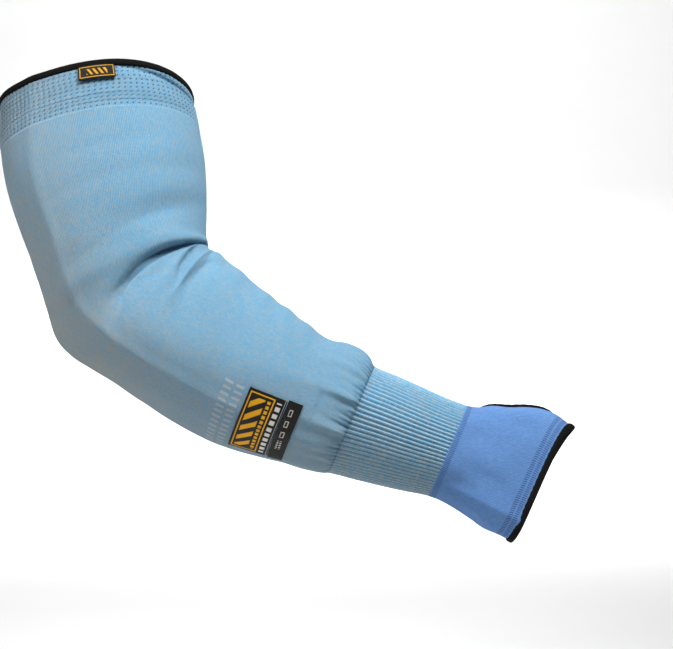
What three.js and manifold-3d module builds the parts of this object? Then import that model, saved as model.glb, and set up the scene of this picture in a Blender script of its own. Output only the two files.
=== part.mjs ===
// A knitted cut-resistant arm sleeve with a thumb hole, in the bent form that it keeps when it is worn on a right arm.
// Millimetres. +X runs from the elbow towards the hand, +Z is up, and -Y faces the viewer.
// The origin is the middle of the top opening, where the upper arm goes in.
import * as THREE from "three";
import { mergeVertices } from "three/addons/utils/BufferGeometryUtils.js";
import Module from "manifold-3d";

// The arm's middle line as it is seen from the side, from the top opening down to the hand.
const UPPER_REACH = 102; // top opening to the start of the elbow's bend
const ELBOW_RADIUS = 71;
const ELBOW_TURN = 59.4; // degrees
const FOREARM_REACH = 125.5; // end of the elbow's bend to the ribbed wrist
const RIB_LENGTH = 65;
const CUFF_LENGTH = 66.5; // ribbed wrist to the hand's edge, the binding included
const WRIST_BEND = 16; // length over which the wrist turns
const WRIST_TURN = 3.7; // degrees
const UPPER_SLOPE = 82.6; // degrees below level
const ELBOW_FORWARD = 42; // how far the elbow stands nearer to the viewer than the top opening

// The sleeve's outer sizes, across the side view and through it.
const UPPER_BREADTH = 131;
const UPPER_DEPTH = 105;
const ELBOW_BREADTH = 117;
const ELBOW_DEPTH = 88;
const FOREARM_BREADTH = 108;
const FOREARM_DEPTH = 88;
const WRIST_BREADTH = 65;
const WRIST_DEPTH = 46;
const HAND_BREADTH = 87;
const HAND_DEPTH = 40;

// The knit and its bands.
const KNIT_WALL = 1.4;
const BAND_END = 30; // middle of the top opening to the end of the open-work band
const RIB_COUNT = 70;
const RIB_HEIGHT = 0.7;
const SEAM_GAP = 0.3; // between two knitted stretches
const FOLD_WIDTH = 6;
const FOLD_DEPTH = 5;
const GATHER_HEIGHT = 1.5; // puckers where the wide knit runs into the ribs
const GATHER_REACH = 62;
const PRESS_HEIGHT = 0.9; // edge pressed into the sleeve by its packing

// The rims. A rim's slant and bow are how far it leaves the plane square to the arm.
const TOP_SLANT = 5.5;
const TOP_BOW = 8;
const BAND_BOW = 3.5; // of the open-work band's lower end
const HAND_SLANT = 7.5;
const HAND_BOW = 4.5;
const HAND_FAR_BOW = 2.5;
const BOW_ANGLE = 56; // where the near bows are highest, in degrees round from the inner side

// The folded bindings: one tape over each raw edge.
const TAPE = 0.9;
const TAPE_CLEARANCE = 0.3;
const TOP_BINDING_WIDTH = 4.8;
const HAND_BINDING_WIDTH = 4.6;
const THUMB_BINDING_WIDTH = 4;
const THUMB_CLEARANCE = 0.45; // more than the rims have, since the cuff bends most at the hole

// The thumb hole, and the swell of the palm beside it.
const THUMB_HOLE_LENGTH = 42;
const THUMB_HOLE_WIDTH = 20;
const THUMB_HOLE_TO_RIM = 33; // hole's middle to the hand's edge
const THUMB_ANGLE = -29; // degrees round from the inner side
const THENAR_HEIGHT = 15;
const THENAR_ANGLE = -54; // degrees round from the inner side
const THENAR_LENGTH = 29; // half its length along the hand

// The flat trims.
const TRIM_LIFT = 0.5; // under a transfer, so that it clears the knit's flat faces
const TRANSFER_THICKNESS = 0.4;
const MAIN_PATCH_LENGTH = 25.5;
const MAIN_PATCH_WIDTH = 48;
const MAIN_PATCH_TO_RIB = 67; // its elbow end to the ribs
const SIZE_PATCH_LENGTH = 9.8;
const SIZE_PATCH_WIDTH = 48;
const PATCH_GAP = 0.7;
const PATCH_ANGLE = 129; // degrees round from the inner side
const TAB_LENGTH = 9.5;
const TAB_WIDTH = 23;
const TAB_THICKNESS = 1;
const TAB_ANGLE = 85; // degrees round from the inner side

const radians = THREE.MathUtils.degToRad;

// Turns rows of values into objects with named columns.
const table = (columns, rows) => rows.map((row) => Object.fromEntries(columns.map((name, i) => [name, row[i]])));

// Where each named stretch starts on the middle line, and how long it is.
const ELBOW_REACH = ELBOW_RADIUS * radians(ELBOW_TURN);
const STRETCHES = {};
let laid = 0;
for (const [name, length] of Object.entries({
  upper: UPPER_REACH,
  elbow: ELBOW_REACH,
  forearm: FOREARM_REACH,
  rib: RIB_LENGTH,
  cuff: CUFF_LENGTH,
})) {
  STRETCHES[name] = { start: laid, length };
  laid += length;
}
const station = (stretch, along) => STRETCHES[stretch].start + along * STRETCHES[stretch].length;
const RIM_STATION = station("cuff", 1);

const GIRTHS = {
  upper: [UPPER_BREADTH, UPPER_DEPTH],
  elbow: [ELBOW_BREADTH, ELBOW_DEPTH],
  forearm: [FOREARM_BREADTH, FOREARM_DEPTH],
  wrist: [WRIST_BREADTH, WRIST_DEPTH],
  hand: [HAND_BREADTH, HAND_DEPTH],
};

// Sections across the arm. along is a share of the stretch. inner and outer are the distances from the middle line to
// the inside and the outside of the bend, as shares of the girth's breadth; near and far are shares of its depth. full
// is how much fuller than an oval the section is. forward is a share of ELBOW_FORWARD.
const SECTIONS = table(
  ["stretch", "along", "girth", "inner", "outer", "near", "far", "full", "forward"],
  [
    ["upper", 0.0, "upper", 0.467, 0.506, 0.495, 0.495, 0.0, 0.0],
    ["upper", 0.26, "upper", 0.489, 0.522, 0.51, 0.505, 0.0, 0.2],
    ["upper", 0.52, "upper", 0.499, 0.509, 0.51, 0.505, 0.0, 0.41],
    ["upper", 0.78, "upper", 0.484, 0.466, 0.495, 0.495, 0.0, 0.61],
    ["upper", 1.0, "upper", 0.462, 0.419, 0.467, 0.476, 0.0, 0.78],
    ["elbow", 0.14, "elbow", 0.522, 0.447, 0.534, 0.545, 0.0, 0.84],
    ["elbow", 0.28, "elbow", 0.519, 0.451, 0.523, 0.523, 0.0, 0.89],
    ["elbow", 0.43, "elbow", 0.515, 0.478, 0.511, 0.511, 0.0, 0.93],
    ["elbow", 0.54, "elbow", 0.511, 0.463, 0.511, 0.5, 0.0, 0.96],
    ["elbow", 0.65, "elbow", 0.507, 0.43, 0.517, 0.5, 0.0, 0.98],
    ["elbow", 0.79, "elbow", 0.507, 0.407, 0.523, 0.5, 0.0, 0.99],
    ["elbow", 0.92, "elbow", 0.508, 0.414, 0.528, 0.5, 0.0, 1.0],
    ["forearm", 0.075, "forearm", 0.531, 0.477, 0.528, 0.5, 0.0, 1.01],
    ["forearm", 0.18, "forearm", 0.494, 0.494, 0.523, 0.494, 0.0, 1.02],
    ["forearm", 0.28, "forearm", 0.462, 0.505, 0.511, 0.489, 0.0, 1.03],
    ["forearm", 0.385, "forearm", 0.426, 0.51, 0.5, 0.477, 0.0, 1.05],
    ["forearm", 0.495, "forearm", 0.398, 0.502, 0.483, 0.46, 0.0, 1.06],
    ["forearm", 0.6, "forearm", 0.363, 0.487, 0.466, 0.443, 0.0, 1.07],
    ["forearm", 0.705, "forearm", 0.336, 0.469, 0.449, 0.42, 0.0, 1.08],
    ["forearm", 0.755, "forearm", 0.335, 0.458, 0.443, 0.415, 0.0, 1.09],
    ["forearm", 0.81, "forearm", 0.351, 0.451, 0.437, 0.41, 0.0, 1.09],
    ["forearm", 0.865, "forearm", 0.352, 0.443, 0.432, 0.403, 0.0, 1.1],
    ["forearm", 0.915, "forearm", 0.343, 0.431, 0.42, 0.392, 0.0, 1.11],
    ["forearm", 0.965, "forearm", 0.322, 0.418, 0.398, 0.38, 0.0, 1.12],
    ["rib", 0.0, "wrist", 0.491, 0.668, 0.696, 0.674, 0.0, 1.12],
    ["rib", 0.25, "wrist", 0.492, 0.628, 0.641, 0.62, 0.0, 1.13],
    ["rib", 0.5, "wrist", 0.489, 0.586, 0.587, 0.565, 0.0, 1.15],
    ["rib", 0.75, "wrist", 0.484, 0.538, 0.543, 0.522, 0.0, 1.16],
    ["rib", 1.0, "wrist", 0.496, 0.487, 0.5, 0.5, 0.0, 1.18],
    ["cuff", 0.12, "hand", 0.39, 0.365, 0.55, 0.56, 0.01, 1.19],
    ["cuff", 0.27, "hand", 0.438, 0.382, 0.525, 0.56, 0.02, 1.2],
    ["cuff", 0.42, "hand", 0.467, 0.406, 0.507, 0.56, 0.04, 1.21],
    ["cuff", 0.57, "hand", 0.509, 0.437, 0.49, 0.55, 0.05, 1.22],
    ["cuff", 0.72, "hand", 0.536, 0.448, 0.475, 0.54, 0.06, 1.23],
    ["cuff", 0.87, "hand", 0.535, 0.466, 0.458, 0.512, 0.06, 1.24],
    ["cuff", 1.0, "hand", 0.506, 0.481, 0.437, 0.487, 0.06, 1.25],
    ["cuff", 1.12, "hand", 0.475, 0.485, 0.425, 0.475, 0.06, 1.26],
  ],
);

// Folds that run round the arm. angle is where the fold's middle is, in degrees round from the inner side, and reach is
// how far it runs each way. drift and bow move it along the arm over that reach, as shares of ELBOW_RADIUS. width and
// depth are shares of FOLD_WIDTH and FOLD_DEPTH, and a negative depth is a groove.
const FOLDS = table(
  ["name", "stretch", "along", "angle", "reach", "drift", "bow", "width", "depth"],
  [
    ["edge roll", "upper", 0.065, 35, 60, -0.155, 0.0, 0.4, -0.22],
    ["upper ripple", "upper", 0.62, 30, 45, 0.08, 0.0, 1.1, -0.12],
    ["upper wrinkle", "upper", 0.9, 50, 62, 0.2, 0.02, 1.2, -0.34],
    ["wrinkle roll", "elbow", 0.08, 48, 62, 0.14, 0.1, 1.2, 0.2],
    ["crease roll", "elbow", 0.2, 50, 75, 0.04, 0.4, 1.3, 0.42],
    ["elbow crease", "elbow", 0.32, 50, 75, 0.04, 0.415, 0.75, -1.15],
    ["crease hollow", "elbow", 0.45, 62, 60, 0.05, 0.4, 2.0, -0.3],
    ["hook roll", "elbow", 0.5, 34, 36, 0.18, 0.0, 0.8, 0.3],
    ["hook crease", "elbow", 0.61, 40, 30, 0.23, 0.0, 0.7, -0.6],
    ["lower roll", "elbow", 0.78, 36, 44, -0.05, 0.2, 0.9, 0.36],
    ["lower valley", "elbow", 0.93, 48, 42, -0.08, 0.31, 0.9, -0.42],
    ["bend bump", "forearm", 0.03, 2, 36, 0.0, 0.05, 0.6, 0.3],
    ["second bump", "forearm", 0.17, 6, 40, -0.04, 0.08, 0.8, 0.24],
    ["third bump", "forearm", 0.35, 8, 42, -0.04, 0.1, 0.8, 0.22],
    ["fourth bump", "forearm", 0.47, 8, 40, -0.04, 0.1, 0.8, 0.2],
    ["fifth bump", "forearm", 0.6, 6, 38, -0.04, 0.1, 0.8, 0.22],
    ["far crease", "elbow", 0.3, -50, 60, -0.1, 0.1, 1.0, -0.7],
    ["far roll", "elbow", 0.1, -50, 60, -0.1, 0.1, 1.4, 0.3],
    ["far valley", "elbow", 0.75, -45, 50, 0.0, 0.1, 1.1, -0.4],
  ],
);

// The puckers round the arm above the ribs: how many there are to a turn, where they start and their share of the height.
const GATHERS = table(
  ["count", "phase", "share"],
  [
    [9, 20, 0.5],
    [13, 75, 0.5],
  ],
);

// The path of the edge pressed along the near side by the packing, in degrees round from the inner side. The far side's
// edge is half a turn from it.
const PRESSED_PATH = table(
  ["stretch", "along", "angle"],
  [
    ["upper", 0.0, 125],
    ["upper", 0.7, 131],
    ["elbow", 0.25, 125],
    ["elbow", 0.55, 119],
    ["forearm", 0.35, 120],
    ["forearm", 0.8, 126],
    ["cuff", 1.0, 127],
  ],
);
const PRESSED_SPREAD = 6; // degrees
const PRESSED_FADE = 12; // length over which they run out above the ribs

const colours = {
  knit: [0x86b4d0, 0.9],
  cuff: [0x6f9fdc, 0.9],
  binding: [0x14120f, 0.85],
  transfer: [0x0f0e0c, 0.6],
  tab: [0x121212, 0.8],
};

// One smooth curve through a table's rows for a named column.
function smoothColumn(rows, name, scale) {
  const at = rows.map((row) => station(row.stretch, row.along));
  const value = rows.map((row) => row[name] * scale(row));
  const last = at.length - 1;
  const slope = value.map((_, i) => {
    const before = Math.max(i - 1, 0);
    const after = Math.min(i + 1, last);
    return (value[after] - value[before]) / (at[after] - at[before]);
  });
  return (s) => {
    if (s <= at[0]) return value[0] + slope[0] * (s - at[0]);
    if (s >= at[last]) return value[last] + slope[last] * (s - at[last]);
    const i = at.findLastIndex((start) => start <= s);
    const length = at[i + 1] - at[i];
    const t = (s - at[i]) / length;
    const ease = t * t * (3 - 2 * t);
    const lean = t * (1 - t);
    return (
      value[i] * (1 - ease) + value[i + 1] * ease + length * lean * (slope[i] * (1 - t) - slope[i + 1] * t)
    );
  };
}

const byBreadth = (row) => GIRTHS[row.girth][0];
const byDepth = (row) => GIRTHS[row.girth][1];
const innerAt = smoothColumn(SECTIONS, "inner", byBreadth);
const outerAt = smoothColumn(SECTIONS, "outer", byBreadth);
const nearAt = smoothColumn(SECTIONS, "near", byDepth);
const farAt = smoothColumn(SECTIONS, "far", byDepth);
const fullAt = smoothColumn(SECTIONS, "full", () => 1);
const forwardAt = smoothColumn(SECTIONS, "forward", () => ELBOW_FORWARD);
const pressedAt = smoothColumn(PRESSED_PATH, "angle", () => radians(1));

// The middle line in the side view: straights and arcs, one after the other.
const WRIST_STATION = station("cuff", 0);
const ARCS = [
  [UPPER_REACH, 0],
  [ELBOW_REACH, ELBOW_TURN],
  [FOREARM_REACH + RIB_LENGTH, 0],
  [WRIST_BEND, WRIST_TURN],
  [CUFF_LENGTH, 0],
].map(([length, turn]) => ({ length, turn: radians(turn) }));

function sideView(s) {
  let slope = radians(UPPER_SLOPE);
  let x = 0;
  let z = 0;
  let left = s;
  ARCS.forEach((arc, i) => {
    const first = i === 0;
    const last = i === ARCS.length - 1;
    const walk = last ? Math.max(left, 0) : Math.min(first ? left : Math.max(left, 0), arc.length);
    const bend = (arc.turn * walk) / arc.length;
    const chord = Math.abs(bend) > 1e-9 ? (walk * Math.sin(bend / 2)) / (bend / 2) : walk;
    x += chord * Math.cos(slope - bend / 2);
    z -= chord * Math.sin(slope - bend / 2);
    slope -= bend;
    left -= walk;
  });
  return { x, z, slope };
}

// The section's place and its two directions: towards the inside of the bend, and towards the viewer.
const STEP = 0.5;
function sectionFrame(s) {
  const { x, z, slope } = sideView(s);
  const advance = (forwardAt(s + STEP) - forwardAt(s - STEP)) / (2 * STEP);
  const along = new THREE.Vector3(Math.cos(slope), -advance, -Math.sin(slope)).normalize();
  const inward = new THREE.Vector3(Math.sin(slope), 0, Math.cos(slope));
  return { middle: new THREE.Vector3(x, -forwardAt(s), z), inward, nearward: along.clone().cross(inward) };
}

// An angle brought within half a turn of nought.
const wrapped = (angle) => Math.atan2(Math.sin(angle), Math.cos(angle));
const hump = (x) => Math.exp(-x * x);

function foldRelief(s, angle) {
  let total = 0;
  for (const fold of FOLDS) {
    const share = wrapped(angle - radians(fold.angle)) / radians(fold.reach);
    if (Math.abs(share) >= 1) continue;
    const line = station(fold.stretch, fold.along) + ELBOW_RADIUS * (fold.drift * share + fold.bow * share * share);
    const fade = (1 - share * share) ** 2;
    total += FOLD_DEPTH * fold.depth * fade * hump((s - line) / (FOLD_WIDTH * fold.width));
  }
  return total;
}

function gatherRelief(s, angle) {
  const back = STRETCHES.rib.start - s;
  if (back < 0 || back > GATHER_REACH) return 0;
  const share = back / GATHER_REACH;
  const strength = Math.min(1, share * 8) * (1 - share) ** 1.5;
  const wave = GATHERS.reduce((sum, row) => sum + row.share * Math.cos(row.count * angle + radians(row.phase)), 0);
  return GATHER_HEIGHT * strength * wave;
}

function pressedRelief(s, angle) {
  const strength = Math.min(1, Math.max(0, STRETCHES.rib.start - s) / PRESSED_FADE);
  const edges = [pressedAt(s), pressedAt(s) + Math.PI];
  return edges.reduce(
    (sum, edge) => sum + strength * PRESS_HEIGHT * hump(wrapped(angle - edge) / radians(PRESSED_SPREAD)),
    0,
  );
}

// The palm's swell beside the thumb hole, which holds the hole's far edge up.
const HOLE_STATION = RIM_STATION - THUMB_HOLE_TO_RIM;
const THENAR_SPREAD = 22; // degrees
function thenarRelief(s, angle) {
  const share = (s - HOLE_STATION) / THENAR_LENGTH;
  if (Math.abs(share) >= 1) return 0;
  const round = hump(wrapped(angle - radians(THENAR_ANGLE)) / radians(THENAR_SPREAD));
  return THENAR_HEIGHT * (1 - share * share) ** 1.5 * round;
}

const relief = (s, angle) =>
  foldRelief(s, angle) + gatherRelief(s, angle) + pressedRelief(s, angle) + thenarRelief(s, angle);

// A point on the knit's outer face. s is the station along the arm, and angle is measured round it from the inner side
// towards the viewer.
function outerFace(s, angle) {
  const cos = Math.cos(angle);
  const sin = Math.sin(angle);
  const fuller = 1 + (fullAt(s) * (1 - Math.cos(4 * angle))) / 2;
  const out = relief(s, angle);
  const across = ((cos > 0 ? innerAt(s) : outerAt(s)) * fuller + out) * cos;
  const through = ((sin > 0 ? nearAt(s) : farAt(s)) * fuller + out) * sin;
  const { middle, inward, nearward } = sectionFrame(s);
  return middle.addScaledVector(inward, across).addScaledVector(nearward, through);
}

// The same point moved square off the face by lift.
const TURN_STEP = 0.01;
function onSleeve(s, angle, lift = 0) {
  const point = outerFace(s, angle);
  if (lift === 0) return point;
  const along = outerFace(s + STEP, angle).sub(outerFace(s - STEP, angle));
  const round = outerFace(s, angle + TURN_STEP).sub(outerFace(s, angle - TURN_STEP));
  return point.addScaledVector(round.cross(along).normalize(), lift);
}

// The stations of the two bound rims, which are not quite square to the arm.
const bowAt = (angle) => Math.max(0, Math.cos(angle - radians(BOW_ANGLE))) ** 2;
const topRim = (angle) => TOP_SLANT * Math.cos(angle) - TOP_BOW * bowAt(angle);
const bandEnd = (angle) => BAND_END - BAND_BOW * bowAt(angle);
const handRim = (angle) =>
  RIM_STATION + HAND_SLANT * Math.cos(angle) - HAND_BOW * bowAt(angle) - HAND_FAR_BOW * Math.max(0, -Math.sin(angle));

const evenly = (count) => Array.from({ length: count }, (_, i) => (i * 2 * Math.PI) / count);

// Angles that lie closer together at the thumb, where the cuff bends most.
const THUMB_CROWDING = 0.45;
const crowded = (count) =>
  evenly(count).map((turn) => turn - THUMB_CROWDING * Math.sin(turn - radians((THUMB_ANGLE + THENAR_ANGLE) / 2)));

const TOP_ANGLES = evenly(32);
const CUFF_ANGLES = crowded(40);
const RIB_ANGLES = evenly(RIB_COUNT * 2);

// A geometry from points and triangles, turned to face out.
function closedGeometry(points, triangles) {
  const volume = triangles.reduce((sum, [a, b, c]) => {
    const normal = new THREE.Vector3().crossVectors(points[b], points[c]);
    return sum + points[a].dot(normal);
  }, 0);
  const faces = volume > 0 ? triangles : triangles.map(([a, b, c]) => [a, c, b]);
  const geometry = new THREE.BufferGeometry().setFromPoints(points);
  geometry.setIndex(faces.flat());
  geometry.computeVertexNormals();
  return geometry;
}

// Joins two rings of points by a band of triangles. Ring b may hold one point for every few of ring a.
function bandBetween(ringA, ringB) {
  const every = ringA.length / ringB.length;
  const faces = [];
  ringB.forEach((b, m) => {
    const next = ringB[(m + 1) % ringB.length];
    for (let i = 0; i < every; i++) {
      faces.push([ringA[m * every + i], b, ringA[(m * every + i + 1) % ringA.length]]);
    }
    faces.push([ringA[((m + 1) * every) % ringA.length], b, next]);
  });
  return faces;
}

// A knitted tube with a wall, open at both ends. stationAt(share, angle) says where each row of points lies. The outer
// face has a point at every angle, and the inner face at one in innerEvery of them.
function knittedTube({ angles, shares, stationAt, outerLift = () => 0, innerEvery = 1 }) {
  const points = [];
  const addRing = (share, list, lift) =>
    list.map((angle, j) => points.push(onSleeve(stationAt(share, angle), angle, lift(j))) - 1);
  const innerAngles = angles.filter((_, j) => j % innerEvery === 0);
  const outer = shares.map((share) => addRing(share, angles, outerLift));
  const inner = shares.map((share) => addRing(share, innerAngles, () => -KNIT_WALL));
  const faces = [];
  for (let i = 0; i + 1 < shares.length; i++) {
    faces.push(...bandBetween(outer[i + 1], outer[i]));
    faces.push(...bandBetween(inner[i], inner[i + 1]));
  }
  faces.push(...bandBetween(outer[0], inner[0]));
  const lastOuter = outer[shares.length - 1];
  const lastInner = inner[shares.length - 1];
  faces.push(...bandBetween(lastOuter, lastInner).map(([a, b, c]) => [a, c, b]));
  return closedGeometry(points, faces);
}

// Shares from 0 to 1 in equal steps.
const steps = (count) => Array.from({ length: count + 1 }, (_, i) => i / count);

const between = (start, end) => (share, angle) => start(angle) + share * (end(angle) - start(angle));
const fixed = (value) => () => value;
const EDGE_INSET = TAPE + TAPE_CLEARANCE; // a rim to the raw edge of the knit that its binding covers

function upperBand() {
  const start = (angle) => topRim(angle) + EDGE_INSET;
  return knittedTube({
    angles: TOP_ANGLES,
    shares: [0, 0.13, 0.26, 0.39, 0.68, 1],
    stationAt: between(start, (angle) => bandEnd(angle) - SEAM_GAP / 2),
  });
}

// The rows of the arm tube lie closer together over the elbow's crease.
const CREASE_ROWS = 13;
function armTube() {
  const start = BAND_END;
  const end = STRETCHES.rib.start - SEAM_GAP / 2;
  const creaseStart = station("upper", 0.86);
  const creaseEnd = station("elbow", 0.46);
  const rows = [
    ...steps(7).map((t) => start + t * (creaseStart - start)),
    ...steps(CREASE_ROWS).slice(1).map((t) => creaseStart + t * (creaseEnd - creaseStart)),
    ...steps(16).slice(1).map((t) => creaseEnd + t * (end - creaseEnd)),
  ];
  return knittedTube({
    angles: TOP_ANGLES,
    shares: rows.map((s) => (s - start) / (end - start)),
    stationAt: between((angle) => bandEnd(angle) + SEAM_GAP / 2, fixed(end)),
  });
}

function wristRib() {
  const start = STRETCHES.rib.start + SEAM_GAP / 2;
  return knittedTube({
    angles: RIB_ANGLES,
    shares: steps(3),
    stationAt: between(fixed(start), fixed(WRIST_STATION - SEAM_GAP / 2)),
    outerLift: (j) => (j % 2 ? -RIB_HEIGHT : 0),
    innerEvery: 2,
  });
}

// Millimetres round the cuff for each radian at the thumb hole.
function spreadAt(s, angle) {
  const tiny = 0.02;
  return onSleeve(s, angle + tiny).distanceTo(onSleeve(s, angle - tiny)) / (2 * tiny);
}
const HOLE_SPREAD = spreadAt(HOLE_STATION, radians(THUMB_ANGLE));

// A point on a ring round the thumb hole. grow is how far outside the bound edge the ring lies.
function roundThumbHole(turn, grow, lift) {
  const s = HOLE_STATION + (THUMB_HOLE_LENGTH / 2 + grow) * Math.cos(turn);
  const angle = radians(THUMB_ANGLE) + ((THUMB_HOLE_WIDTH / 2 + grow) / HOLE_SPREAD) * Math.sin(turn);
  return onSleeve(s, angle, lift);
}

const THUMB_TURNS = evenly(30);

const wasm = await Module();
wasm.setup();

function toSolid(geometry) {
  const bare = new THREE.BufferGeometry().setAttribute("position", geometry.getAttribute("position"));
  bare.setIndex(geometry.index);
  const merged = mergeVertices(bare, 1e-4);
  const triVerts = new Uint32Array(merged.index.array);
  return new wasm.Manifold(new wasm.Mesh({ numProp: 3, vertProperties: merged.attributes.position.array, triVerts }));
}

function toGeometry(solid) {
  const mesh = solid.getMesh();
  const geometry = new THREE.BufferGeometry();
  geometry.setAttribute("position", new THREE.BufferAttribute(mesh.vertProperties, mesh.numProp));
  geometry.setIndex(new THREE.BufferAttribute(mesh.triVerts, 1));
  geometry.computeVertexNormals();
  return geometry;
}

// The plug that the thumb hole is cut with: a ring over the knit and one under it, each closed by a fan.
function thumbPlug() {
  const clear = 4;
  const points = [clear, -KNIT_WALL - clear].flatMap((lift) => [
    ...THUMB_TURNS.map((turn) => roundThumbHole(turn, EDGE_INSET, lift)),
    onSleeve(HOLE_STATION, radians(THUMB_ANGLE), lift),
  ]);
  const count = THUMB_TURNS.length;
  const faces = THUMB_TURNS.flatMap((_, i) => {
    const next = (i + 1) % count;
    const under = count + 1;
    return [
      [i, next, count],
      [under + next, under + i, under + count],
      [next, i, under + i],
      [next, under + i, under + next],
    ];
  });
  return closedGeometry(points, faces);
}

function handCuff() {
  const whole = knittedTube({
    angles: CUFF_ANGLES,
    shares: steps(12),
    stationAt: between(fixed(WRIST_STATION + SEAM_GAP / 2), (angle) => handRim(angle) - EDGE_INSET),
  });
  return toGeometry(toSolid(whole).subtract(toSolid(thumbPlug())));
}

// The section of a folded binding: grow is measured from its closed edge into the knit, and lift from the knit's face.
function bindingSection(width, clearance) {
  const over = clearance + TAPE;
  const under = -KNIT_WALL - over;
  const corner = TAPE * 1.2;
  return table(
    ["grow", "lift"],
    [
      [width, over],
      [corner, over],
      [0, over - corner],
      [0, under + corner],
      [corner, under],
      [width, under],
      [width, -KNIT_WALL - clearance],
      [TAPE, -KNIT_WALL - clearance],
      [TAPE, clearance],
      [width, clearance],
    ],
  );
}

// A ring swept round a loop: pointAt(turn, grow, lift) places each corner of the section.
function sweptRing(turns, section, pointAt) {
  const points = turns.flatMap((turn) => section.map(({ grow, lift }) => pointAt(turn, grow, lift)));
  const rings = turns.map((_, i) => section.map((_, j) => i * section.length + j));
  const faces = rings.flatMap((ring, i) => bandBetween(ring, rings[(i + 1) % rings.length]));
  return closedGeometry(points, faces);
}

const topBinding = () =>
  sweptRing(TOP_ANGLES, bindingSection(TOP_BINDING_WIDTH, TAPE_CLEARANCE), (angle, grow, lift) =>
    onSleeve(topRim(angle) + grow, angle, lift),
  );

const handBinding = () =>
  sweptRing(CUFF_ANGLES, bindingSection(HAND_BINDING_WIDTH, TAPE_CLEARANCE), (angle, grow, lift) =>
    onSleeve(handRim(angle) - grow, angle, lift),
  );

const thumbBinding = () => sweptRing(THUMB_TURNS, bindingSection(THUMB_BINDING_WIDTH, THUMB_CLEARANCE), roundThumbHole);

// A thin plate that follows the sleeve, of the given length along it and width round it.
function plateOnSleeve({ startAt, length, middle, width, rows, columns, liftAt }) {
  const spread = spreadAt(startAt(middle) + length / 2, middle);
  const points = [0, 1].flatMap((layer) =>
    steps(rows).flatMap((t) =>
      steps(columns).map((u) => {
        const angle = middle + ((u - 0.5) * width) / spread;
        return onSleeve(startAt(angle) + t * length, angle, liftAt(t, layer));
      }),
    ),
  );
  const perLayer = (rows + 1) * (columns + 1);
  const index = (i, j, layer) => layer * perLayer + i * (columns + 1) + j;
  const faces = [];
  for (let i = 0; i < rows; i++) {
    for (let j = 0; j < columns; j++) {
      faces.push([index(i, j, 1), index(i, j + 1, 1), index(i + 1, j, 1)]);
      faces.push([index(i, j + 1, 1), index(i + 1, j + 1, 1), index(i + 1, j, 1)]);
      faces.push([index(i, j, 0), index(i + 1, j, 0), index(i, j + 1, 0)]);
      faces.push([index(i, j + 1, 0), index(i + 1, j, 0), index(i + 1, j + 1, 0)]);
    }
  }
  const edge = [];
  for (let j = 0; j < columns; j++) edge.push([0, j]);
  for (let i = 0; i < rows; i++) edge.push([i, columns]);
  for (let j = columns; j > 0; j--) edge.push([rows, j]);
  for (let i = rows; i > 0; i--) edge.push([i, 0]);
  edge.forEach(([i, j], k) => {
    const [ni, nj] = edge[(k + 1) % edge.length];
    faces.push([index(i, j, 0), index(ni, nj, 0), index(ni, nj, 1)]);
    faces.push([index(i, j, 0), index(ni, nj, 1), index(i, j, 1)]);
  });
  return closedGeometry(points, faces);
}

const transferLift = (_, layer) => TRIM_LIFT + layer * TRANSFER_THICKNESS;
const PATCH_START = STRETCHES.rib.start - MAIN_PATCH_TO_RIB;
const SIZE_PATCH_START = PATCH_START + MAIN_PATCH_LENGTH + PATCH_GAP;

const mainPatch = () =>
  plateOnSleeve({
    startAt: fixed(PATCH_START),
    length: MAIN_PATCH_LENGTH,
    middle: radians(PATCH_ANGLE),
    width: MAIN_PATCH_WIDTH,
    rows: 4,
    columns: 8,
    liftAt: transferLift,
  });

const sizePatch = () =>
  plateOnSleeve({
    startAt: fixed(SIZE_PATCH_START),
    length: SIZE_PATCH_LENGTH,
    middle: radians(PATCH_ANGLE),
    width: SIZE_PATCH_WIDTH,
    rows: 2,
    columns: 8,
    liftAt: transferLift,
  });

// The woven tab hangs from the top binding and stands off the knit a little at its free end.
const TAB_STAND = 1.2;
const edgeTab = () =>
  plateOnSleeve({
    startAt: (angle) => topRim(angle) + TOP_BINDING_WIDTH + TAPE_CLEARANCE,
    length: TAB_LENGTH,
    middle: radians(TAB_ANGLE),
    width: TAB_WIDTH,
    rows: 2,
    columns: 4,
    liftAt: (t, layer) => TRIM_LIFT + t * TAB_STAND + layer * TAB_THICKNESS,
  });

const sleeve = new THREE.Group();
function addPiece(name, geometry, finish) {
  const [color, roughness] = colours[finish];
  const mesh = new THREE.Mesh(geometry, new THREE.MeshStandardMaterial({ color, roughness, metalness: 0 }));
  mesh.name = name;
  sleeve.add(mesh);
}

addPiece("top_binding", topBinding(), "binding");
addPiece("edge_tab", edgeTab(), "tab");
addPiece("upper_band", upperBand(), "knit");
addPiece("arm_tube", armTube(), "knit");
addPiece("main_patch", mainPatch(), "transfer");
addPiece("size_patch", sizePatch(), "transfer");
addPiece("wrist_rib", wristRib(), "knit");
addPiece("hand_cuff", handCuff(), "cuff");
addPiece("thumb_binding", thumbBinding(), "binding");
addPiece("hand_binding", handBinding(), "binding");

export default sleeve;
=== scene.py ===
"""The looks of a knitted arm sleeve in its worn form: fine knit, ribs, bindings, prints and a studio."""

import math

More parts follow.
